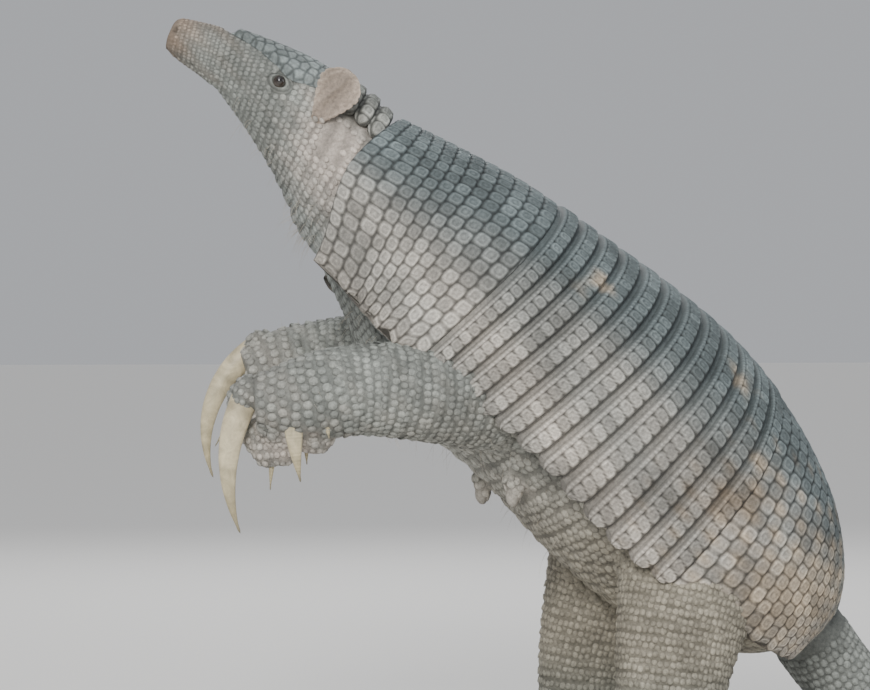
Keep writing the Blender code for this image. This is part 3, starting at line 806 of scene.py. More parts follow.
def on_limb(stations, u, angle, side=1, bent=False, lift=0.0):
    """Points round a limb; side is -1 for the animal's left and 1 for its right."""
    u, angle, lift = np.broadcast_arrays(u, angle, lift)
    shape = u.shape
    u, angle, lift = u.ravel(), angle.ravel(), lift.ravel()[:, None]
    sided = stations * np.array([1, side, 1, 1, 1])
    s = curve(sided, u)
    ahead = curve(sided, np.minimum(u + 0.01, 1)) - curve(sided, np.maximum(u - 0.01, 0))
    along = ahead[:, :3] / np.linalg.norm(ahead[:, :3], axis=1)[:, None]
    across = np.array([0, 1.0, 0]) - along * along[:, 1:2]
    across /= np.linalg.norm(across, axis=1)[:, None]
    up = np.cross(along, across)
    wide, tall = s[:, 3:4], s[:, 4:5]
    c, d = np.cos(angle)[:, None], np.sin(angle)[:, None]
    outward = across * c / wide + up * d / tall
    outward /= np.linalg.norm(outward, axis=1)[:, None]
    p = s[:, :3] + across * wide * c + up * tall * d + outward * lift
    if bent:
        p = turn(p)
    p = p + HOME
    p[:, 2] = np.maximum(p[:, 2], 0.0006)
    return p.reshape(shape + (3,))

# %% Rough closed forms
forms = []


def add_form(grid):
    """Keeps a tube of points, closed by a flat face at each end."""
    rows, columns = grid.shape[:2]
    faces = grid_faces(rows, columns, wrap_columns=True)
    faces.append(list(range(columns)))
    faces.append([(rows - 1) * columns + c for c in range(columns)])
    forms.append((grid.reshape(-1, 3), faces))


def add_ball(centre, radii, heading=0.0):
    """Keeps a ball, stretched to its three radii."""
    v = np.linspace(0.02, math.pi - 0.02, 15)[:, None]
    a = np.arange(20)[None, :] * math.tau / 20
    x = np.cos(a) * np.sin(v) * radii[0]
    y = np.sin(a) * np.sin(v) * radii[1]
    z = (np.cos(v) + 0 * a) * radii[2]
    c, s = math.cos(heading), math.sin(heading)
    add_form(np.stack([x * c + z * s, y, z * c - x * s], -1) + np.asarray(centre))


ring = (np.arange(72) + 0.5) * math.tau / 72 - math.pi
u = np.linspace(0, 1, 60)[:, None] + 0 * ring
head_sink = np.where(u < 0.35, 0.0020, 0.0048) + 0.0035 * smooth_step(0.05, 0.0, u)
body = [on_body(HEAD, u[:-1], ring + 0 * u[:-1], -head_sink[:-1] - COAT_DEPTH)]
u = np.linspace(0.02, 0.97, 24)[:, None] + 0 * ring
body.append(on_body(NECK, u, ring + 0 * u, -0.0060 - COAT_DEPTH))
u = np.linspace(0.0, 1.0, 90)[:, None] + 0 * ring
edge = shell_edge(u.ravel()).reshape(u.shape)
angle = ring + 0 * u
under = smooth_step(-0.02, 0.10, np.abs(angle) - edge)
body.append(on_body(TRUNK, u, angle, -PLATE - 0.002 - 0.002 * under))
add_form(np.concatenate(body))

ring = np.arange(40) * math.tau / 40
u = np.linspace(0, 1, 40)[:, None]
for side, stations in ((-1, FORE_LEFT), (1, FORE_RIGHT)):
    add_form(on_limb(stations, u, ring[None, :], side, True, -COAT_DEPTH))
    add_form(on_limb(HIND, u, ring[None, :], side, False, -COAT_DEPTH))
    add_form(on_limb(FOOT, u, ring[None, :], side, False, -COAT_DEPTH))
add_form(on_limb(TAIL, u, ring[None, :], 1, False, -COAT_DEPTH))
print("rough forms:", len(forms))

# %% [markdown]
# ## Claws and toes
# The digging claws are the showpiece. Each is an arc in an upright plane, tapering to a blunt
# tip, swept ring by ring. The same list of claws also places a fleshy toe round every root, so
# that claw and toe can't drift apart. The horn gets faint rings of growth along its length.

# %% Claw sizes
# root x, distance from the middle, root z, lean, curl, length, half width, half height
FORE_CLAWS_LEFT = [
    (-0.295, 0.094, 0.378, 12, 16, 0.045, 0.0040, 0.0055),
    (-0.322, 0.102, 0.388, 14, 12, 0.080, 0.0050, 0.0070),
    (-0.354, 0.120, 0.402, 32, 54, 0.138, 0.0090, 0.0140),
    (-0.309, 0.138, 0.396, 4, 16, 0.078, 0.0080, 0.0118),
    (-0.281, 0.143, 0.396, 2, 12, 0.036, 0.0055, 0.0068),
]
FORE_CLAWS_RIGHT = [
    (-0.335, 0.084, 0.398, 18, 14, 0.045, 0.0040, 0.0055),
    (-0.352, 0.092, 0.408, 38, 8, 0.076, 0.0050, 0.0065),
    (-0.350, 0.108, 0.448, 64, 84, 0.156, 0.0090, 0.0140),
    (-0.345, 0.126, 0.412, 14, 22, 0.078, 0.0080, 0.0118),
    (-0.318, 0.131, 0.410, 6, 14, 0.036, 0.0055, 0.0068),
]
# outwards, backwards, scale
HIND_CLAWS = [
    (-0.031, 0.020, 0.75),
    (-0.017, 0.005, 0.95),
    (0.000, 0.000, 1.00),
    (0.017, 0.006, 0.95),
    (0.032, 0.020, 0.80),
]


def hind_claw(out, back, scale):
    """A hind claw in the same terms as a fore claw."""
    place = (-0.078 + back, 0.108 + out, 0.025)
    return (*place, 84, 28, 0.040 * scale + 0.012, 0.0080 * scale, 0.0085 * scale)

# %% Claw material
def horn_material():
    """Ivory horn, streaked along its length and dirty at the tip."""
    material, tree, shader, position = new_material("claw_horn")
    stops = [(0.0, (0.22, 0.18, 0.12)), (0.07, (0.50, 0.43, 0.29)), (0.45, (0.56, 0.49, 0.33)),
             (0.85, (0.42, 0.36, 0.22)), (1.0, (0.17, 0.15, 0.10))]
    base = ramp_node(tree, read_node(tree, "length"), "Fac", stops)
    streaks = noise_node(tree, position, 60.0, 6.0, 0.7)
    streaks.inputs["Distortion"].default_value = 1.2
    streak_ramp = ramp_node(tree, streaks, "Fac", [(0.32, grey(0.72)), (0.62, grey(1.12))])
    colour = multiplied(tree, base, "Color", streak_ramp, "Color")
    grooves = read_node(tree, "relief")
    groove_ramp = ramp_node(tree, grooves, "Fac", [(0.0, grey(0.80)), (1.0, grey(1.06))])
    colour = multiplied(tree, colour, MIXED, groove_ramp, "Color")
    link(tree, colour, MIXED, shader, "Base Color")
    gloss = ramp_node(tree, streaks, "Fac", [(0.3, grey(0.30)), (0.7, grey(0.50))])
    link(tree, gloss, "Color", shader, "Roughness")
    scratches = noise_node(tree, position, 700.0, 4.0)
    link(tree, bump_node(tree, scratches, 0.0003, 0.5), "Normal", shader, "Normal")
    return material


claw_horn = horn_material()
print("claw material:", claw_horn.name)

# %% [markdown]
# ## Sweeping a claw
# Rings of points are set along the arc, each smaller than the last. The underside is narrower
# than the back, as in a digging claw. The root starts inside the toe, so no flat end shows.

# %% Sweep the claws
toes = []
CLAW_SIDES = 28
CLAW_RINGS = 60
CLAW_ROOT = 0.009
GROWTH_RINGS = 2600


def claw(name, numbers, side, bent):
    """One claw, with its toe added to the rough forms."""
    x, y, z, lean, curl, length, half_width, half_height = numbers
    t = np.linspace(0, 1, CLAW_RINGS)
    heading = np.radians(lean - curl * t)
    along = np.stack([-np.sin(heading), 0 * t, -np.cos(heading)], -1)
    up = np.stack([-np.cos(heading), 0 * t, np.sin(heading)], -1)
    steps = along[1:] * ((length + CLAW_ROOT) / (CLAW_RINGS - 1))
    hidden = along[0] * CLAW_ROOT
    path = np.array([x, side * y, z]) - hidden + np.vstack([np.zeros(3), np.cumsum(steps, axis=0)])
    taper = np.maximum(1 - t ** 1.7, 0.10) * np.sqrt(np.clip((1 - t) / 0.03 + 0.02, 0.0, 1))
    growth = np.sin(t * length * GROWTH_RINGS + 2 * np.sin(t * 17)) * 0.5 + 0.5
    swell = taper * (0.988 + 0.012 * growth)
    a = np.arange(CLAW_SIDES) * math.tau / CLAW_SIDES
    wide = np.cos(a) * (1 - 0.22 * np.maximum(-np.sin(a), 0))
    grid = path[:, None, :] + up[:, None, :] * (np.sin(a)[None, :] * swell[:, None]
                                                * half_height)[..., None]
    grid[..., 1] += wide[None, :] * swell[:, None] * half_width
    points = grid.reshape(-1, 3)
    if bent:
        points = turn(points)
    points = points + HOME
    faces = grid_faces(CLAW_RINGS, CLAW_SIDES, wrap_columns=True)
    faces.append(list(range(CLAW_SIDES)))
    faces.append([(CLAW_RINGS - 1) * CLAW_SIDES + c for c in range(CLAW_SIDES)])
    ones = np.ones(CLAW_SIDES)
    piece(name + "_horn", points, faces, claw_horn, [name], name,
          length=np.outer(t, ones), relief=np.outer(growth, ones))
    root = path[0] + along[0] * (CLAW_ROOT - 0.003)
    if bent:
        root = turn(root[None, :])[0]
    size = np.array([half_height * 1.18, half_width * 1.40, 0.017])
    add_ball(root + HOME, size, math.radians(lean))
    toes.append((root + HOME, size, math.radians(lean)))


for side, word, claws in ((-1, "left", FORE_CLAWS_LEFT), (1, "right", FORE_CLAWS_RIGHT)):
    for k, numbers in enumerate(claws):
        claw(f"fore_claw_{word}_{k + 1}", numbers, side, True)
    for k, numbers in enumerate(HIND_CLAWS):
        claw(f"hind_claw_{word}_{k + 1}", hind_claw(*numbers), side, False)

PALM_PADS = [
    (-0.334, 0.102, 0.352, 0.017, 0.014, 0.022),
    (-0.320, 0.112, 0.350, 0.015, 0.014, 0.018),
    (-0.346, 0.096, 0.362, 0.014, 0.012, 0.018),
    (-0.290, 0.112, 0.362, 0.020, 0.018, 0.018),
    (-0.312, 0.110, 0.374, 0.034, 0.024, 0.026),
]
RIGHT_PALM = np.array([-0.022, -0.006, 0.032])
for side in (-1, 1):
    for x, y, z, *radii in PALM_PADS:
        middle = np.array([x, y, z]) + (RIGHT_PALM if side > 0 else 0)
        middle[1] *= side
        middle = turn(middle[None, :])[0] + HOME
        add_ball(middle, radii)
        toes.append((middle, radii, 0.0))
for side in (-1, 1):
    add_ball(HOME + (0.074, side * 0.099, 0.026), (0.034, 0.030, 0.026))
for root in TEATS:
    add_ball(root + (-0.001, 0, -0.010), (0.0074, 0.0074, 0.0170), math.radians(-10))
    add_ball(root + (0.002, 0, 0.001), (0.013, 0.013, 0.011))
add_ball(HOME + (0.232, 0, 0.160), (0.036, 0.047, 0.036))
print("rough forms with toes, heels, pads and teats:", len(forms))

# %% [markdown]
# ## One skin
# Voxel remeshing rebuilds the outside of everything as even little squares. It loses anything
# thinner than a few voxels, so the ears join afterwards. Smoothing then rounds the creases
# where forms meet, the way loose skin does.

# %% Melt the forms together
VOXEL = 0.0029


def merged_forms():
    points = np.concatenate([p for p, faces in forms])
    faces = []
    start = 0
    for p, form_faces in forms:
        faces += [[start + i for i in face] for face in form_faces]
        start += len(p)
    mesh = bpy.data.meshes.new("flesh")
    mesh.from_pydata(points.tolist(), [], faces)
    obj = bpy.data.objects.new("flesh", mesh)
    bpy.context.scene.collection.objects.link(obj)
    face_outwards(mesh)
    return obj


def apply_modifiers(obj):
    graph = bpy.context.evaluated_depsgraph_get()
    done = bpy.data.meshes.new_from_object(obj.evaluated_get(graph))
    obj.modifiers.clear()
    old = obj.data
    obj.data = done
    bpy.data.meshes.remove(old)


flesh = merged_forms()
remesh = flesh.modifiers.new("melt", "REMESH")
remesh.mode = "VOXEL"
remesh.voxel_size = VOXEL
soften = flesh.modifiers.new("soften", "SMOOTH")
soften.factor = 0.5
soften.iterations = 6
apply_modifiers(flesh)
print("flesh points:", len(flesh.data.vertices))

# %% [markdown]
# ## Ears
# An ear is a leathery paddle: narrow at the root, broad and round at the top, cupped, with a
# wavy rim. It is a leaf of points with a front and a back, fine enough for folds.

# %% Ear shape
EAR_AT = 0.965
EAR_ANGLE = math.radians(75)
EAR_HEIGHT = 0.056
EAR_WIDTH = 0.046
EAR_THICK = 0.0036


def unit(v):
    return v / np.linalg.norm(v)


def ear_form(side):
    """Points and faces of one ear."""
    place = (np.array([EAR_AT]), np.array([side * EAR_ANGLE]))
    root = on_body(HEAD, *place, -0.003)[0]
    outward = unit(root - on_body(HEAD, *place, -0.012)[0])
    pair = turn(np.array([(-0.30, 0, 0.7), (-0.31, 0, 0.7)]))
    tall = unit(unit(pair[0] - pair[1]) * 0.60 + np.array([0, 0, 0.74]) + outward * 0.26)
    wide = unit(np.cross(tall, outward)) * side
    face = unit(np.cross(wide, tall))
    face = face if face @ outward > 0 else -face
    t = np.linspace(-0.26, 1, 50)[:, None]
    a = np.arange(56)[None, :] * math.tau / 56
    half = 0.36 + 0.64 * np.sin(math.pi * np.clip(t * 0.62 + 0.02, 0, 1)) ** 1.2
    half = EAR_WIDTH / 2 * half
    half = half * np.sqrt(np.maximum(1 - np.maximum(t - 0.62, 0) ** 2 / 0.152, 0.02))
    half = half * (1 - 0.45 * smooth_step(0.10, -0.26, t))
    wavy = 1 + 0.028 * np.sin(t * 41) + 0.018 * np.sin(t * 83 + 1)
    w = np.cos(a) * half * wavy
    share = w / (EAR_WIDTH / 2)
    cup = 0.010 * share ** 2 + 0.006 * t ** 2 - 0.006 * smooth_step(0.06, -0.24, t)
    fold = 0.0028 * np.exp(-((share - 0.35 + 0.4 * t) / 0.12) ** 2) * np.clip(t * 3, 0, 1)
    veins = 0.0007 * np.sin(w * 900 + np.sin(t * 14) * 2) * np.sin(t * 31)
    thick = EAR_THICK / 2 * np.sign(np.sin(a)) * np.abs(np.sin(a)) ** 0.55 * (1.5 - 0.5 * t)
    depth = cup + thick + fold + veins
    grid = (root + tall * (EAR_HEIGHT * t)[..., None] + wide * w[..., None]
            + face * depth[..., None])
    rows, columns = grid.shape[:2]
    faces = grid_faces(rows, columns, wrap_columns=True)
    faces.append(list(range(columns)))
    faces.append([(rows - 1) * columns + c for c in range(columns)])
    rim = np.abs(np.cos(a)) ** 6 + smooth_step(0.80, 1.0, t)
    # the ear's rim gets a painted highlight, the middle of the cup painted shade, and the veins
    # painted light and shade
    height = 0.60 + 0.22 * np.clip(rim, 0, 1) - 0.20 * np.exp(-(share / 0.35) ** 2) + 130 * veins
    return grid.reshape(-1, 3), faces, np.broadcast_to(height, w.shape).ravel()


ears = {side: ear_form(side) for side in (-1, 1)}
print("ear points:", len(ears[-1][0]))

# %% [markdown]
# ## Face and folds
# The head gets the closest look, so its mesh is divided twice more before the folds go in. Each
# feature is a small rule that moves points in or out: a socket and two lids round the eye, a
# line for the closed mouth, nostrils, and creases over the throat, belly and limbs.

# %% Divide the head finely
EYE_AT = 0.722
EYE_ANGLE = math.radians(73)
EYE_RADIUS = 0.0062


def eye_frame(side):
    """Centre of the eye, and the directions forward, up and outward at it."""
    place = (np.array([EYE_AT]), np.array([side * EYE_ANGLE]))
    centre = on_body(HEAD, *place, -EYE_RADIUS * 0.75)[0]
    outward = unit(on_body(HEAD, *place, 0.01)[0] - on_body(HEAD, *place, 0.0)[0])
    ahead = on_body(HEAD, np.array([EYE_AT - 0.05]), place[1])[0] - centre
    forward = unit(ahead - outward * (ahead @ outward))
    return centre, forward, np.cross(outward, forward) * side, outward


def divide(obj, chosen):
    """Splits the edges whose ends are both chosen."""
    bm = bmesh.new()
    bm.from_mesh(obj.data)
    bm.verts.ensure_lookup_table()
    picked = [e for e in bm.edges if chosen[e.verts[0].index] and chosen[e.verts[1].index]]
    bmesh.ops.subdivide_edges(bm, edges=picked, cuts=1, use_grid_fill=True, smooth=0.0)
    bmesh.ops.triangulate(bm, faces=[f for f in bm.faces if len(f.verts) > 4])
    bm.to_mesh(obj.data)
    bm.free()


def points_of(obj):
    flat = np.empty(len(obj.data.vertices) * 3)
    obj.data.vertices.foreach_get("co", flat)
    return flat.reshape(-1, 3)


head_back = HOME[0] - 0.245
p = points_of(flesh)
divide(flesh, (p[:, 0] < head_back) & (p[:, 2] > 0.60))
p = points_of(flesh)
near_eyes = np.zeros(len(p), bool)
for side in (-1, 1):
    near_eyes |= np.linalg.norm(p - eye_frame(side)[0], axis=1) < 0.020
near_eyes |= np.linalg.norm(p - head_point(HEAD, 0.0, 0), axis=1) < 0.045
divide(flesh, near_eyes)
print("flesh points with the fine head:", len(flesh.data.vertices))

# %% [markdown]
# ## Eye sockets and lids
# Each point near an eye knows how far it is from the eye, measured on an oval. Inside the oval
# it sinks, on the rim it rises into a lid, and two creases ring the lid.

# %% Sockets and lids
p = points_of(flesh)
flat = np.empty(len(p) * 3)
flesh.data.vertices.foreach_get("normal", flat)
normal = flat.reshape(-1, 3)
relief = np.full(len(p), 0.62)
push = np.zeros(len(p))

for side in (-1, 1):
    centre, forward, upward, outward = eye_frame(side)
    away = p - centre
    x, y, out = away @ forward, away @ upward, away @ outward
    front_side = out > -0.004
    reach = np.hypot(x / 1.22, y / 0.86) / EYE_RADIUS
    socket = smooth_step(0.92, 0.70, reach) * front_side
    lid = np.exp(-((reach - 1.16) / 0.20) ** 2) * front_side
    crease = np.exp(-((reach - 1.62) / 0.12) ** 2) * front_side
    crease2 = np.exp(-((reach - 2.10) / 0.12) ** 2) * front_side
    push += -0.0050 * socket + 0.0021 * lid - 0.0007 * crease - 0.0005 * crease2
    # painted shade in the socket and its creases, and a painted highlight on the lid
    relief = relief - 0.45 * crease - 0.35 * crease2 - 0.6 * socket + 0.25 * lid


print("points moved by the lids:", int((np.abs(push) > 0.0001).sum()))

# %% [markdown]
# ## Mouth, chin and nostrils
# The snout hangs over the lower jaw, and the closed mouth is a long fine line under its side.
# A crease between two places on the head is enough for it, made on both sides at once.

# %% Mouth line, chin and nostrils
def groove(start, end, width):
    """How deep each point is in a crease between two places, from 0 to 1, on both sides."""
    depth = np.zeros(len(p))
    for side in (-1, 1):
        a = head_point(HEAD, start[0], side * start[1])
        b = head_point(HEAD, end[0], side * end[1])
        line = b - a
        along = np.clip(((p - a) @ line) / (line @ line), 0, 1)
        gap = np.linalg.norm(p - a - along[:, None] * line, axis=1)
        depth += np.exp(-(gap / width) ** 2)
    return depth


# place along the head and angle from the crown of the mouth's front, middle and corner
MOUTH = [(0.02, 150), (0.20, 150), (0.53, 141)]
front_line = groove(MOUTH[0], MOUTH[1], 0.0026)
rear_line = groove(MOUTH[1], MOUTH[2], 0.0024)
push -= 0.0042 * front_line + 0.0034 * rear_line
# painted shade along the mouth line
relief -= 0.5 * (front_line + rear_line)
chin = np.linalg.norm((p - head_point(HEAD, 0.0, 180)) / (0.016, 0.020, 0.012), axis=1)
push -= 0.0055 * np.exp(-chin ** 2)
for side in (-1, 1):
    nostril = head_point(HEAD, 0.0, side * 62) + (0.001, 0, -0.006)
    gap = np.linalg.norm((p - nostril) / np.array([0.0045, 0.0038, 0.0032]), axis=1)
    push -= 0.0045 * np.exp(-gap ** 2)
    # painted shade in the nostrils
    relief -= 0.6 * np.exp(-gap ** 2)

print("deepest crease in mm:", (-push.min() * 1000).round(1))

# %% [markdown]
# ## Folds of the body
# Loose hide creases across the neck, chest, arms and legs. Each region has a wave that runs
# along it and fades out at its ends, and a slow wobble keeps the folds from being ruled lines.

# %% Folds
body_x, body_z = p[:, 0] - HOME[0], p[:, 2]
wobble = np.sin(p[:, 1] * 55) * 0.6 + np.sin(body_x * 31 + p[:, 1] * 23) * 0.5
neck_zone = smooth_step(-0.36, -0.30, body_x) * smooth_step(-0.20, -0.25, body_x)
neck_zone = neck_zone * smooth_step(0.52, 0.58, body_z)
neck_fold = np.sin((body_x - body_z * 0.5) * math.tau / 0.017 + wobble)
chest_zone = smooth_step(-0.26, -0.20, body_x) * smooth_step(0.20, 0.12, body_x)
chest_zone = chest_zone * smooth_step(0.22, 0.28, body_z)
chest_fold = np.sin((body_x * 0.72 - body_z * 0.69) * math.tau / 0.024 + wobble)
arm_zone = smooth_step(-0.34, -0.27, body_x) * smooth_step(-0.10, -0.18, body_x)
arm_zone = arm_zone * smooth_step(0.50, 0.46, body_z) * smooth_step(0.33, 0.36, body_z)
arm_fold = np.sin(body_x * math.tau / 0.011 + wobble * 0.8)
leg_zone = smooth_step(0.27, 0.22, body_z) * smooth_step(0.05, 0.09, body_z)
leg_zone = leg_zone * smooth_step(0.17, 0.14, body_x)
leg_fold = np.sin(body_z * math.tau / 0.013 + wobble)
chest_zone = chest_zone * (1 - arm_zone)
push += 0.0007 * neck_zone * neck_fold + 0.0010 * chest_zone * chest_fold
push += 0.0007 * arm_zone * arm_fold + 0.0006 * leg_zone * leg_fold
folds = neck_zone * neck_fold + chest_zone * chest_fold
folds = folds + arm_zone * arm_fold + leg_zone * leg_fold
# fold crests are painted lighter and fold troughs darker, as painted light and shade
relief = np.clip(relief + 0.16 * folds, 0, 1)
p = p + normal * push[:, None]
p[:, 2] = np.maximum(p[:, 2], 0.0)
print("skin moved in or out by up to mm:", (np.abs(push).max() * 1000).round(1))

# %% [markdown]
# ## The finished skin
# The ears join the flesh as part of the same piece, with their roots sunk in the head. The skin
# then stands for all ten solids of flesh, which are hidden.

# %% Join the ears and finish the skin
faces = [list(f.vertices) for f in flesh.data.polygons]
for side in (-1, 1):
    ear_points, ear_faces, ear_relief = ears[side]
    faces += [[len(p) + i for i in face] for face in ear_faces]
    p = np.concatenate([p, ear_points])
    relief = np.concatenate([relief, ear_relief])
colour = skin_colour(p)
ear_count = sum(len(e[0]) for e in ears.values())
colour[-ear_count:] = blend(colour[-ear_count:], EAR_PINK, 0.85)
SKIN_NODES = ["trunk", "neck", "head", "ear_left", "ear_right", "fore_leg_left",
              "fore_leg_right", "hind_leg_left", "hind_leg_right", "tail"]
bpy.data.objects.remove(flesh)
skin = piece("skin", p, faces, bare_skin, SKIN_NODES, "trunk",
             marking=colour, relief=relief, tone=np.full(len(p), 0.5))
print("skin points:", len(skin.data.vertices))

# %% [markdown]
# ## Eyes
# A small dark eye: a ball with a clear bulge in front. The iris is brown and the pupil nearly
# black, which a number on each point, the distance from the eye's axis, turns into colour.

# %% Two eyes
def eye_material():
    material, tree, shader, position = new_material("eye_wet")
    stops = [(0.0, (0.004, 0.003, 0.003)), (0.34, (0.006, 0.004, 0.003)),
             (0.42, (0.026, 0.015, 0.008)), (0.62, (0.018, 0.011, 0.007)),
             (0.80, (0.060, 0.042, 0.030))]
    iris = ramp_node(tree, read_node(tree, "ring"), "Fac", stops)
    fibres = noise_node(tree, position, 1500.0, 3.0)
    fibre_ramp = ramp_node(tree, fibres, "Fac", [(0.3, grey(0.65)), (0.7, grey(1.3))])
    colour = multiplied(tree, iris, "Color", fibre_ramp, "Color")
    link(tree, colour, MIXED, shader, "Base Color")
    shader.inputs["Roughness"].default_value = 0.08
    shader.inputs["Coat Weight"].default_value = 0.8
    shader.inputs["Coat Roughness"].default_value = 0.03
    return material


eye_wet = eye_material()


def eye(side, word):
    """A ball with a bulging front, facing outward."""
    centre, forward, upward, outward = eye_frame(side)
    v = np.linspace(0.0, math.pi, 33)[:, None]
    a = np.arange(40)[None, :] * math.tau / 40
    bulge = 1 + 0.07 * np.exp(-(v / 0.55) ** 2)
    x = np.cos(a) * np.sin(v) * EYE_RADIUS * bulge
    y = np.sin(a) * np.sin(v) * EYE_RADIUS * bulge
    z = (np.cos(v) + 0 * a) * EYE_RADIUS * bulge
    points = centre + x[..., None] * forward + y[..., None] * upward + z[..., None] * outward
    points = points.reshape(-1, 3)
    faces = grid_faces(33, 40, wrap_columns=True)
    ring_value = np.broadcast_to(np.clip(v / 1.5, 0, 1), (33, 40))
    name = f"eye_{word}"
    ball = piece(name + "_ball", points, faces, eye_wet, [name], name, ring=ring_value)
    bm = bmesh.new()
    bm.from_mesh(ball.data)
    bmesh.ops.remove_doubles(bm, verts=bm.verts, dist=0.00002)
    bm.to_mesh(ball.data)
    bm.free()


eye(-1, "left")
eye(1, "right")
print("eye radius in mm:", EYE_RADIUS * 1000)

# %% [markdown]
# ## Scales over the skin
# Where there is no shell the hide is set with hundreds of small flat horny scales. Each is a low
# eight-sided dome, tilted a little so that its rear edge stands up. They stand in rows worked out
# along and round the body, every second row shifted by half a scale, and each root is then drawn
# to the nearest place on the skin. A patch of the flat map per scale keeps their colours apart.

# %% Lay scales in rows
def surface_tree(obj):
    data = obj.data
    corners = points_of(obj)
    return BVHTree.FromPolygons(corners.tolist(), [list(f.vertices) for f in data.polygons])


skin_tree = surface_tree(skin)


def rows_of_roots(place, u0, u1, a0, a1, along_size, across_size):
    """Roots, directions and chart places in rows of a region. place(u, angle) gives points."""
    us = np.linspace(u0, u1, 200)
    middle = place(us, np.full(200, (a0 + a1) / 2))
    length = np.concatenate([[0], np.cumsum(np.linalg.norm(np.diff(middle, axis=0), axis=1))])
    count = max(int(length[-1] / along_size), 2)
    row_u = np.interp(np.linspace(0, length[-1], count), length, us)
    found = []
    for k, u in enumerate(row_u):
        angles = np.linspace(a0, a1, 160)
        line = place(np.full(160, u), angles)
        girth = np.concatenate([[0], np.cumsum(np.linalg.norm(np.diff(line, axis=0), axis=1))])
        number = max(int(girth[-1] / across_size), 1)
        at = (np.arange(number) + 0.5 * (k % 2) + 0.25) / number
        jitter = scatter(np.arange(number), k) - 0.5
        a = np.interp((at + jitter * 0.16 / number) * girth[-1], girth, angles)
        here = place(np.full(number, u), a)
        step = 0.004 if u < 0.99 else -0.004
        there = place(np.full(number, u + step), a)
        lie = (there - here) * (1 if step > 0 else -1)
        for j in range(number):
            found.append((here[j], lie[j], u, a[j]))
    return found

# %% [markdown]
# ## The shape of one scale
# A skirt of eight points sunk in the skin, eight more on the shoulder of the dome, and one on
# top. That is only 24 triangles, so thousands can be afforded, and smooth shading rounds it.

# %% One scale
SCALE_SIDES = 8
SCALE_COVER = 0.52
SKIRT = (1.0, -0.32)
SHOULDER = (0.80, 0.75)


def scale_shape():
    """Points of a scale one unit in radius and height."""
    points = []
    for radius, height in (SKIRT, SHOULDER):
        for k in range(SCALE_SIDES):
            a = (k + 0.5) * math.tau / SCALE_SIDES
            c, s = math.cos(a), math.sin(a)
            squarer = 1 / max(abs(c), abs(s)) ** 0.45
            points.append((c * radius * squarer, s * radius * squarer, height))
    points.append((0, 0, 1.0))
    return np.array(points)


print("points in a scale:", len(scale_shape()))

# %% [markdown]
# ## Laying the scales
# Each root is drawn to the skin, and the scale is turned to lie along the body. The flat map
# gives every region its own chart, in which a scale's patch sits at its root's place along and
# round the body. So neighbours on the body are neighbours on the map.

# %% Lay the scales
UV_PATCH = 0.0015


def add_flat_map(obj, places):
    """The map that holds each point's place on the unwrapped skin."""
    layer = obj.data.uv_layers.new(name="OFBake")
    corner = np.empty(len(obj.data.loops), int)
    obj.data.loops.foreach_get("vertex_index", corner)
    layer.data.foreach_set("uv", places[corner].ravel())


def lay_scales(name, regions, slot, keep=None, reach=0.010):
    """Scales for a list of regions, joined as one piece with its flat map."""
    template = scale_shape()
    n = SCALE_SIDES
    shape_faces = [[k, (k + 1) % n, n + (k + 1) % n, n + k] for k in range(n)]
    shape_faces += [[n + k, n + (k + 1) % n, 2 * n] for k in range(n)]
    points, faces, tones, reliefs, uvs, roots = [], [], [], [], [], []
    chart_step = 1.0 / max(len(regions), 1)
    for chart, (place, span, sizes, height) in enumerate(regions):
        u0, u1, a0, a1 = span
        for root, lie, u, a in rows_of_roots(place, u0, u1, a0, a1, *sizes):
            hit, up = skin_tree.find_nearest(Vector(root), reach)[:2]
            if hit is None or (keep is not None and not keep(root, u, a)):
                continue
            up = np.array(up)
            lie = lie - up * (lie @ up)
            if np.linalg.norm(lie) < 1e-7:
                continue
            lie = unit(lie)
            across = np.cross(up, lie)
            shade = float(scatter(round(root[0] * 1e4), round(root[2] * 1e4)))
            size = 0.92 + 0.16 * shade
            size = size * SCALE_COVER
            local = template * (sizes[0] * size, sizes[1] * size, height)
            lifted = local[:, 2] + local[:, 0] * 0.10
            drift = float(scatter(round(root[1] * 1e4), round(root[2] * 1e4))) - 0.5
            hit = np.array(hit) + lie * drift * 0.30 * sizes[0]
            shape = (hit + local[:, :1] * lie + local[:, 1:2] * across
                     + lifted[:, None] * up)
            shape[:, 2] = np.maximum(shape[:, 2], 0.0)
            start = len(points) * (2 * n + 1)
            points.append(shape)
            faces += [[start + i for i in face] for face in shape_faces]
            tones.append(shade)
            # the sunk skirt gets low relief, painted shade where the scale meets the skin, and the
            # dome a mild painted highlight
            reliefs.append(np.concatenate([np.full(n, 0.12), np.full(n, 0.80), [0.86]]))
            roots.append(hit)
            along_chart = (u - u0) / (u1 - u0)
            round_chart = (a - a0) / (a1 - a0)
            middle = np.array([chart_step * (chart + 0.04 + 0.92 * along_chart),
                               0.02 + 0.96 * round_chart])
            uvs.append(middle + template[:, :2] * UV_PATCH * 0.85)
    count = len(points)
    points = np.concatenate(points)
    tone = np.repeat(tones, 2 * n + 1)
    base = np.repeat(skin_colour(np.array(roots)), 2 * n + 1, axis=0)
    obj = piece(name, points, faces, skin_scale, (), slot, marking=base * 1.08,
                relief=np.concatenate(reliefs), tone=tone)
    add_flat_map(obj, np.concatenate(uvs))
    print(name, "scales:", count, "triangles:", count * 3 * n)

# %% [markdown]
# ## Head, neck and belly
# The smallest scales are on the snout and the largest on the cheek. None grow on the bare nose,
# in the mouth line, round the eyes or on the bare skin behind the ears.

# %% Scales of head, neck and belly
def body_place(stations):
    return lambda u, a: on_body(stations, u, a, -0.004)


def limb_place(stations, side, bent):
    return lambda u, a: on_limb(stations, u, a, side, bent)


left_eye = eye_frame(-1)[0]
right_eye = eye_frame(1)[0]


LIP_WIDTH = 0.075
LIP_END = 0.54
LID_REACH = 0.0125


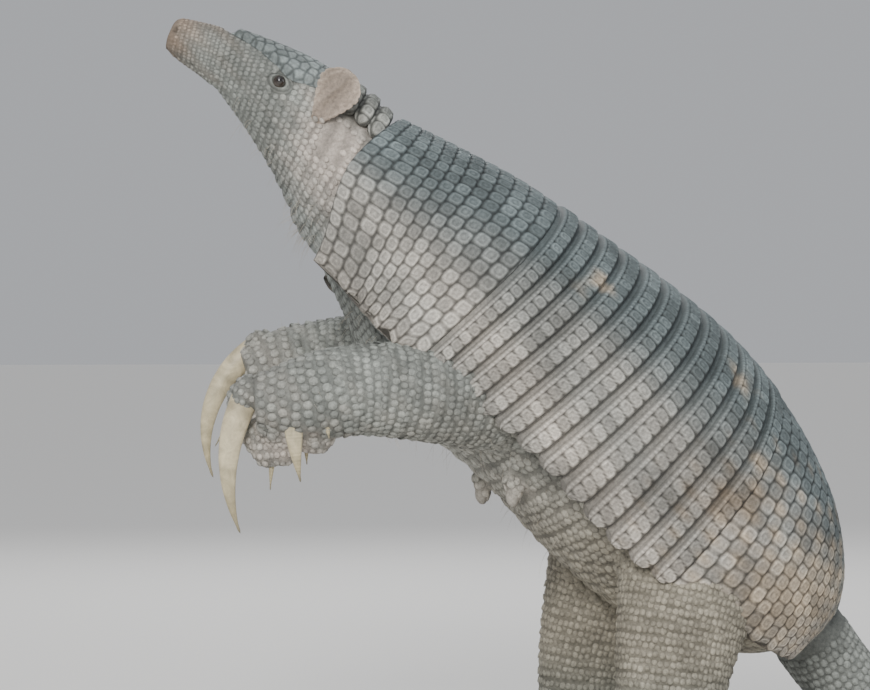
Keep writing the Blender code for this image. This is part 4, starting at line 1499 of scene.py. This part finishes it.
def clear_of_eyes(root, u, a):
    gap = min(np.linalg.norm(root - left_eye), np.linalg.norm(root - right_eye))
    line_at = math.radians(np.interp(u, *zip(*MOUTH)))
    if u < LIP_END and abs(abs(a) - line_at) < LIP_WIDTH:
        return False
    crown_here = CROWN_FRONT < u < 0.99 and abs(a) < crown_reach(np.array([u]))[0] * 0.98
    return gap > LID_REACH and not crown_here


HALF_TURN = math.pi
fine = 1.0
head_regions = [
    (body_place(HEAD), (0.075, 0.36, -HALF_TURN, HALF_TURN), (0.0037 * fine, 0.0034 * fine), 0.00035),
    (body_place(HEAD), (0.37, 0.68, -HALF_TURN, HALF_TURN), (0.0054 * fine, 0.0048 * fine), 0.00065),
    (body_place(HEAD), (0.69, 0.99, -HALF_TURN, HALF_TURN), (0.0072 * fine, 0.0062 * fine), 0.00095),
]
lay_scales("head_scales", head_regions, "head", keep=clear_of_eyes)


BARE_BEHIND_EARS = [head_point(NECK, 0.22, -82), head_point(NECK, 0.22, 82)]


def below_nape(root, u, a):
    bare = min(np.linalg.norm(root - place) for place in BARE_BEHIND_EARS)
    return abs(a) > 1.02 and bare > 0.024 + 0.006 * math.sin(root[2] * 900)


neck_regions = [
    (body_place(NECK), (0.02, 0.96, -HALF_TURN, HALF_TURN), (0.0088 * fine, 0.0062 * fine), 0.0012),
]
lay_scales("neck_scales", neck_regions, "neck", keep=below_nape)


def below_shell(root, u, a):
    edge = shell_edge(np.array([u]))[0]
    return abs(a) > edge - 0.30


belly_regions = [
    (body_place(TRUNK), (0.0, 0.92, 1.45, HALF_TURN), (0.0092 * fine, 0.0088 * fine), 0.0011),
    (body_place(TRUNK), (0.0, 0.92, -1.45, -HALF_TURN), (0.0092 * fine, 0.0088 * fine), 0.0011),
]
lay_scales("belly_scales", belly_regions, "trunk", keep=below_shell, reach=0.014)

# %% [markdown]
# ## Limbs and tail
# Arms carry rows of small scales that swell into round bumps on the back of the hand. Legs and
# feet have finer ones, toes and pads a few each, and the tail is closely set all round.

# %% Scales of limbs and tail
for side, word, stations in ((-1, "left", FORE_LEFT), (1, "right", FORE_RIGHT)):
    arm = limb_place(stations, side, True)
    regions = [
        (arm, (0.10, 0.66, 0.0, math.tau), (0.0078 * fine, 0.0070 * fine), 0.0009),
        (arm, (0.67, 0.97, 0.0, math.tau), (0.0096 * fine, 0.0090 * fine), 0.0019),
    ]
    lay_scales(f"fore_scales_{word}", regions, f"fore_leg_{word}")
    leg = limb_place(HIND, side, False)
    foot = limb_place(FOOT, side, False)
    regions = [
        (leg, (0.04, 0.94, 0.0, math.tau), (0.0068 * fine, 0.0062 * fine), 0.0008),
        (foot, (0.04, 0.94, 0.0, math.tau), (0.0074 * fine, 0.0070 * fine), 0.0009),
    ]
    lay_scales(f"hind_scales_{word}", regions, f"hind_leg_{word}", reach=0.006)


def toe_place(centre, radii, heading):
    """Points over a toe's ball, from its claw end round to its back."""
    c, s = math.cos(heading), math.sin(heading)

    def place(u, a):
        v = math.pi * u
        x = np.cos(a) * np.sin(v) * radii[0]
        y = np.sin(a) * np.sin(v) * radii[1]
        z = np.cos(v) * radii[2]
        return np.stack([x * c + z * s, y, z * c - x * s], -1) + centre

    return place


toe_regions = [(toe_place(*toe), (0.22, 0.80, 0.0, math.tau), (0.0068 * fine, 0.0064 * fine),
                0.0012) for toe in toes]
lay_scales("toe_scales", toe_regions, "fore_leg_left", reach=0.0035)
tail_regions = [
    (limb_place(TAIL, 1, False), (0.04, 0.98, 0.0, math.tau), (0.0092 * fine, 0.0082 * fine),
     0.0014),
]
lay_scales("tail_scales", tail_regions, "tail")

# %% [markdown]
# ## A few hairs
# The animal is nearly bare, but long pale hairs stand thinly on the throat, the belly and along
# the edge of the shell. Particle hair can't leave the program as mesh, so each hair is a thin
# three-sided spike, bent a little towards the ground, rooted in the skin.

# %% Sparse hairs
HAIR_RADIUS = 0.00022
HAIR_STEPS = 4


def hair_material():
    material, tree, shader, position = new_material("hair_pale")
    noise = noise_node(tree, position, 90.0, 2.0)
    stops = [(0.3, (0.26, 0.22, 0.16)), (0.7, (0.55, 0.50, 0.42))]
    shade = ramp_node(tree, noise, "Fac", stops)
    link(tree, shade, "Color", shader, "Base Color")
    shader.inputs["Roughness"].default_value = 0.45
    return material


def sparse_hairs(name, regions, slot):
    """Thin bent spikes at chance places of each region."""
    chance = np.random.default_rng(21)
    points, faces, uvs = [], [], []
    total = len(regions)
    for chart, (place, span, count, length) in enumerate(regions):
        u0, u1, a0, a1 = span
        share = chance.random((count, 2))
        u = u0 + (u1 - u0) * share[:, 0]
        a = a0 + (a1 - a0) * share[:, 1]
        roots = place(u, a)
        for k in range(count):
            hit, up = skin_tree.find_nearest(Vector(roots[k]), 0.02)[:2]
            if hit is None:
                continue
            up = np.array(up)
            side = unit(np.cross(up, (0.31, 0.52, 0.79)))
            reach = length * (0.6 + 0.6 * chance.random())
            drift = chance.normal(0, 0.25, 3) + np.array([0.25, 0, -0.55])
            start = len(points)
            for step in range(HAIR_STEPS + 1):
                t = step / HAIR_STEPS
                spine = np.array(hit) - up * 0.001 + up * reach * t + drift * reach * t * t
                width = HAIR_RADIUS * (1 - 0.85 * t)
                for corner in range(3):
                    turned = corner * math.tau / 3
                    offset = side * math.cos(turned) + np.cross(up, side) * math.sin(turned)
                    points.append(spine + offset * width)
                    spot = ((chart + 0.05 + 0.9 * share[k, 0]) / total, 0.02 + 0.96 * share[k, 1])
                    uvs.append((spot[0] + (t - 0.5) * 0.0025, spot[1] + (corner - 1) * 0.001))
            for step in range(HAIR_STEPS):
                for corner in range(3):
                    low_a = start + step * 3 + corner
                    low_b = start + step * 3 + (corner + 1) % 3
                    faces.append([low_a, low_b, low_b + 3, low_a + 3])
            faces.append([start, start + 1, start + 2])
            tip = start + HAIR_STEPS * 3
            faces.append([tip + 2, tip + 1, tip])
    obj = piece(name, points, faces, hair_material(), (), slot)
    add_flat_map(obj, np.array(uvs))
    print(name, "faces:", len(faces))


hair_regions = [
    (body_place(NECK), (0.0, 0.9, 2.2, 2 * math.pi - 2.2), 90, 0.020),
    (body_place(HEAD), (0.55, 1.0, 2.0, 2 * math.pi - 2.0), 50, 0.014),
    (body_place(TRUNK), (0.10, 0.75, 2.1, 2.9), 70, 0.022),
    (body_place(TRUNK), (0.10, 0.75, -2.9, -2.1), 70, 0.022),
    (limb_place(FORE_LEFT, -1, True), (0.3, 0.8, 0.0, math.tau), 30, 0.012),
    (limb_place(FORE_RIGHT, 1, True), (0.3, 0.8, 0.0, math.tau), 30, 0.012),
]
sparse_hairs("pale_hairs", hair_regions, "trunk")

# %% [markdown]
# ## Stage
# A plain pale floor, wide enough to reach the horizon from any side.

# %% Floor
def floor_material():
    material = bpy.data.materials.new("floor_pale")
    material.use_nodes = True
    shader = material.node_tree.nodes["Principled BSDF"]
    shader.inputs["Base Color"].default_value = (0.72, 0.71, 0.69, 1)
    shader.inputs["Roughness"].default_value = 0.9
    return material


floor_mesh = bpy.data.meshes.new("floor")
FLOOR_HALF = 60.0
floor_corners = [(-FLOOR_HALF, -FLOOR_HALF, -0.0004), (FLOOR_HALF, -FLOOR_HALF, -0.0004),
                 (FLOOR_HALF, FLOOR_HALF, -0.0004), (-FLOOR_HALF, FLOOR_HALF, -0.0004)]
floor_mesh.from_pydata(floor_corners, [], [(0, 1, 2, 3)])
floor_mesh.materials.append(floor_material())
floor = bpy.data.objects.new("floor", floor_mesh)
bpy.context.scene.collection.objects.link(floor)
print("floor width in metres:", 2 * FLOOR_HALF)

# %% [markdown]
# ## Light
# Soft light comes from large panels: a key from the camera's side, a fill opposite and a light
# from behind and above that draws the outline. A wide overhead light and a pale sky fill in.

# %% Lights


def panel(name, place, target, size, power, colour=(1, 1, 1)):
    """A soft square light that faces the target."""
    data = bpy.data.lights.new(name, "AREA")
    data.shape = "RECTANGLE"
    data.size = size
    data.size_y = size
    data.energy = power
    data.color = colour
    obj = bpy.data.objects.new(name, data)
    obj.location = place
    facing = Vector(target) - Vector(place)
    obj.rotation_euler = facing.to_track_quat("-Z", "Y").to_euler()
    bpy.context.scene.collection.objects.link(obj)


AIM = (-0.15, 0.0, 0.40)
panel("key", (-1.9, -2.6, 1.7), AIM, 0.9, 90, (1.0, 0.985, 0.96))
panel("fill", (2.4, -1.8, 1.2), AIM, 2.2, 16, (0.94, 0.97, 1.0))
panel("rim", (0.6, 2.6, 2.2), AIM, 1.6, 42)
sun_data = bpy.data.lights.new("overhead", "SUN")
sun_data.energy = 1.0
sun_data.angle = math.radians(50)
sun = bpy.data.objects.new("overhead", sun_data)
sun.rotation_euler = (math.radians(28), math.radians(-22), 0)
bpy.context.scene.collection.objects.link(sun)
world = bpy.data.worlds.new("studio")
bpy.context.scene.world = world
world.use_nodes = True
world.node_tree.nodes["Background"].inputs["Color"].default_value = (0.78, 0.80, 0.84, 1)
world.node_tree.nodes["Background"].inputs["Strength"].default_value = 0.58

print("lights:", len(bpy.data.lights))

# %% [markdown]
# ## Camera
# The lens is long and level, low to the ground, so that the animal towers.

# %% Camera
FOCAL_WIDTHS = 2800 / 870
SENSOR = 36
CAMERA_PLACE = (-1.3832, -2.6290, 0.45)
CAMERA_TURN = math.radians(22)
camera_data = bpy.data.cameras.new("camera")
camera_data.sensor_width = SENSOR
camera_data.lens = FOCAL_WIDTHS * SENSOR
camera_data.clip_end = 200
camera = bpy.data.objects.new("camera", camera_data)
camera.location = CAMERA_PLACE
camera.rotation_euler = (math.pi / 2, 0, -CAMERA_TURN)
bpy.context.scene.collection.objects.link(camera)
bpy.context.scene.camera = camera
bpy.context.view_layer.update()
print("camera lens in mm:", round(camera_data.lens, 1))
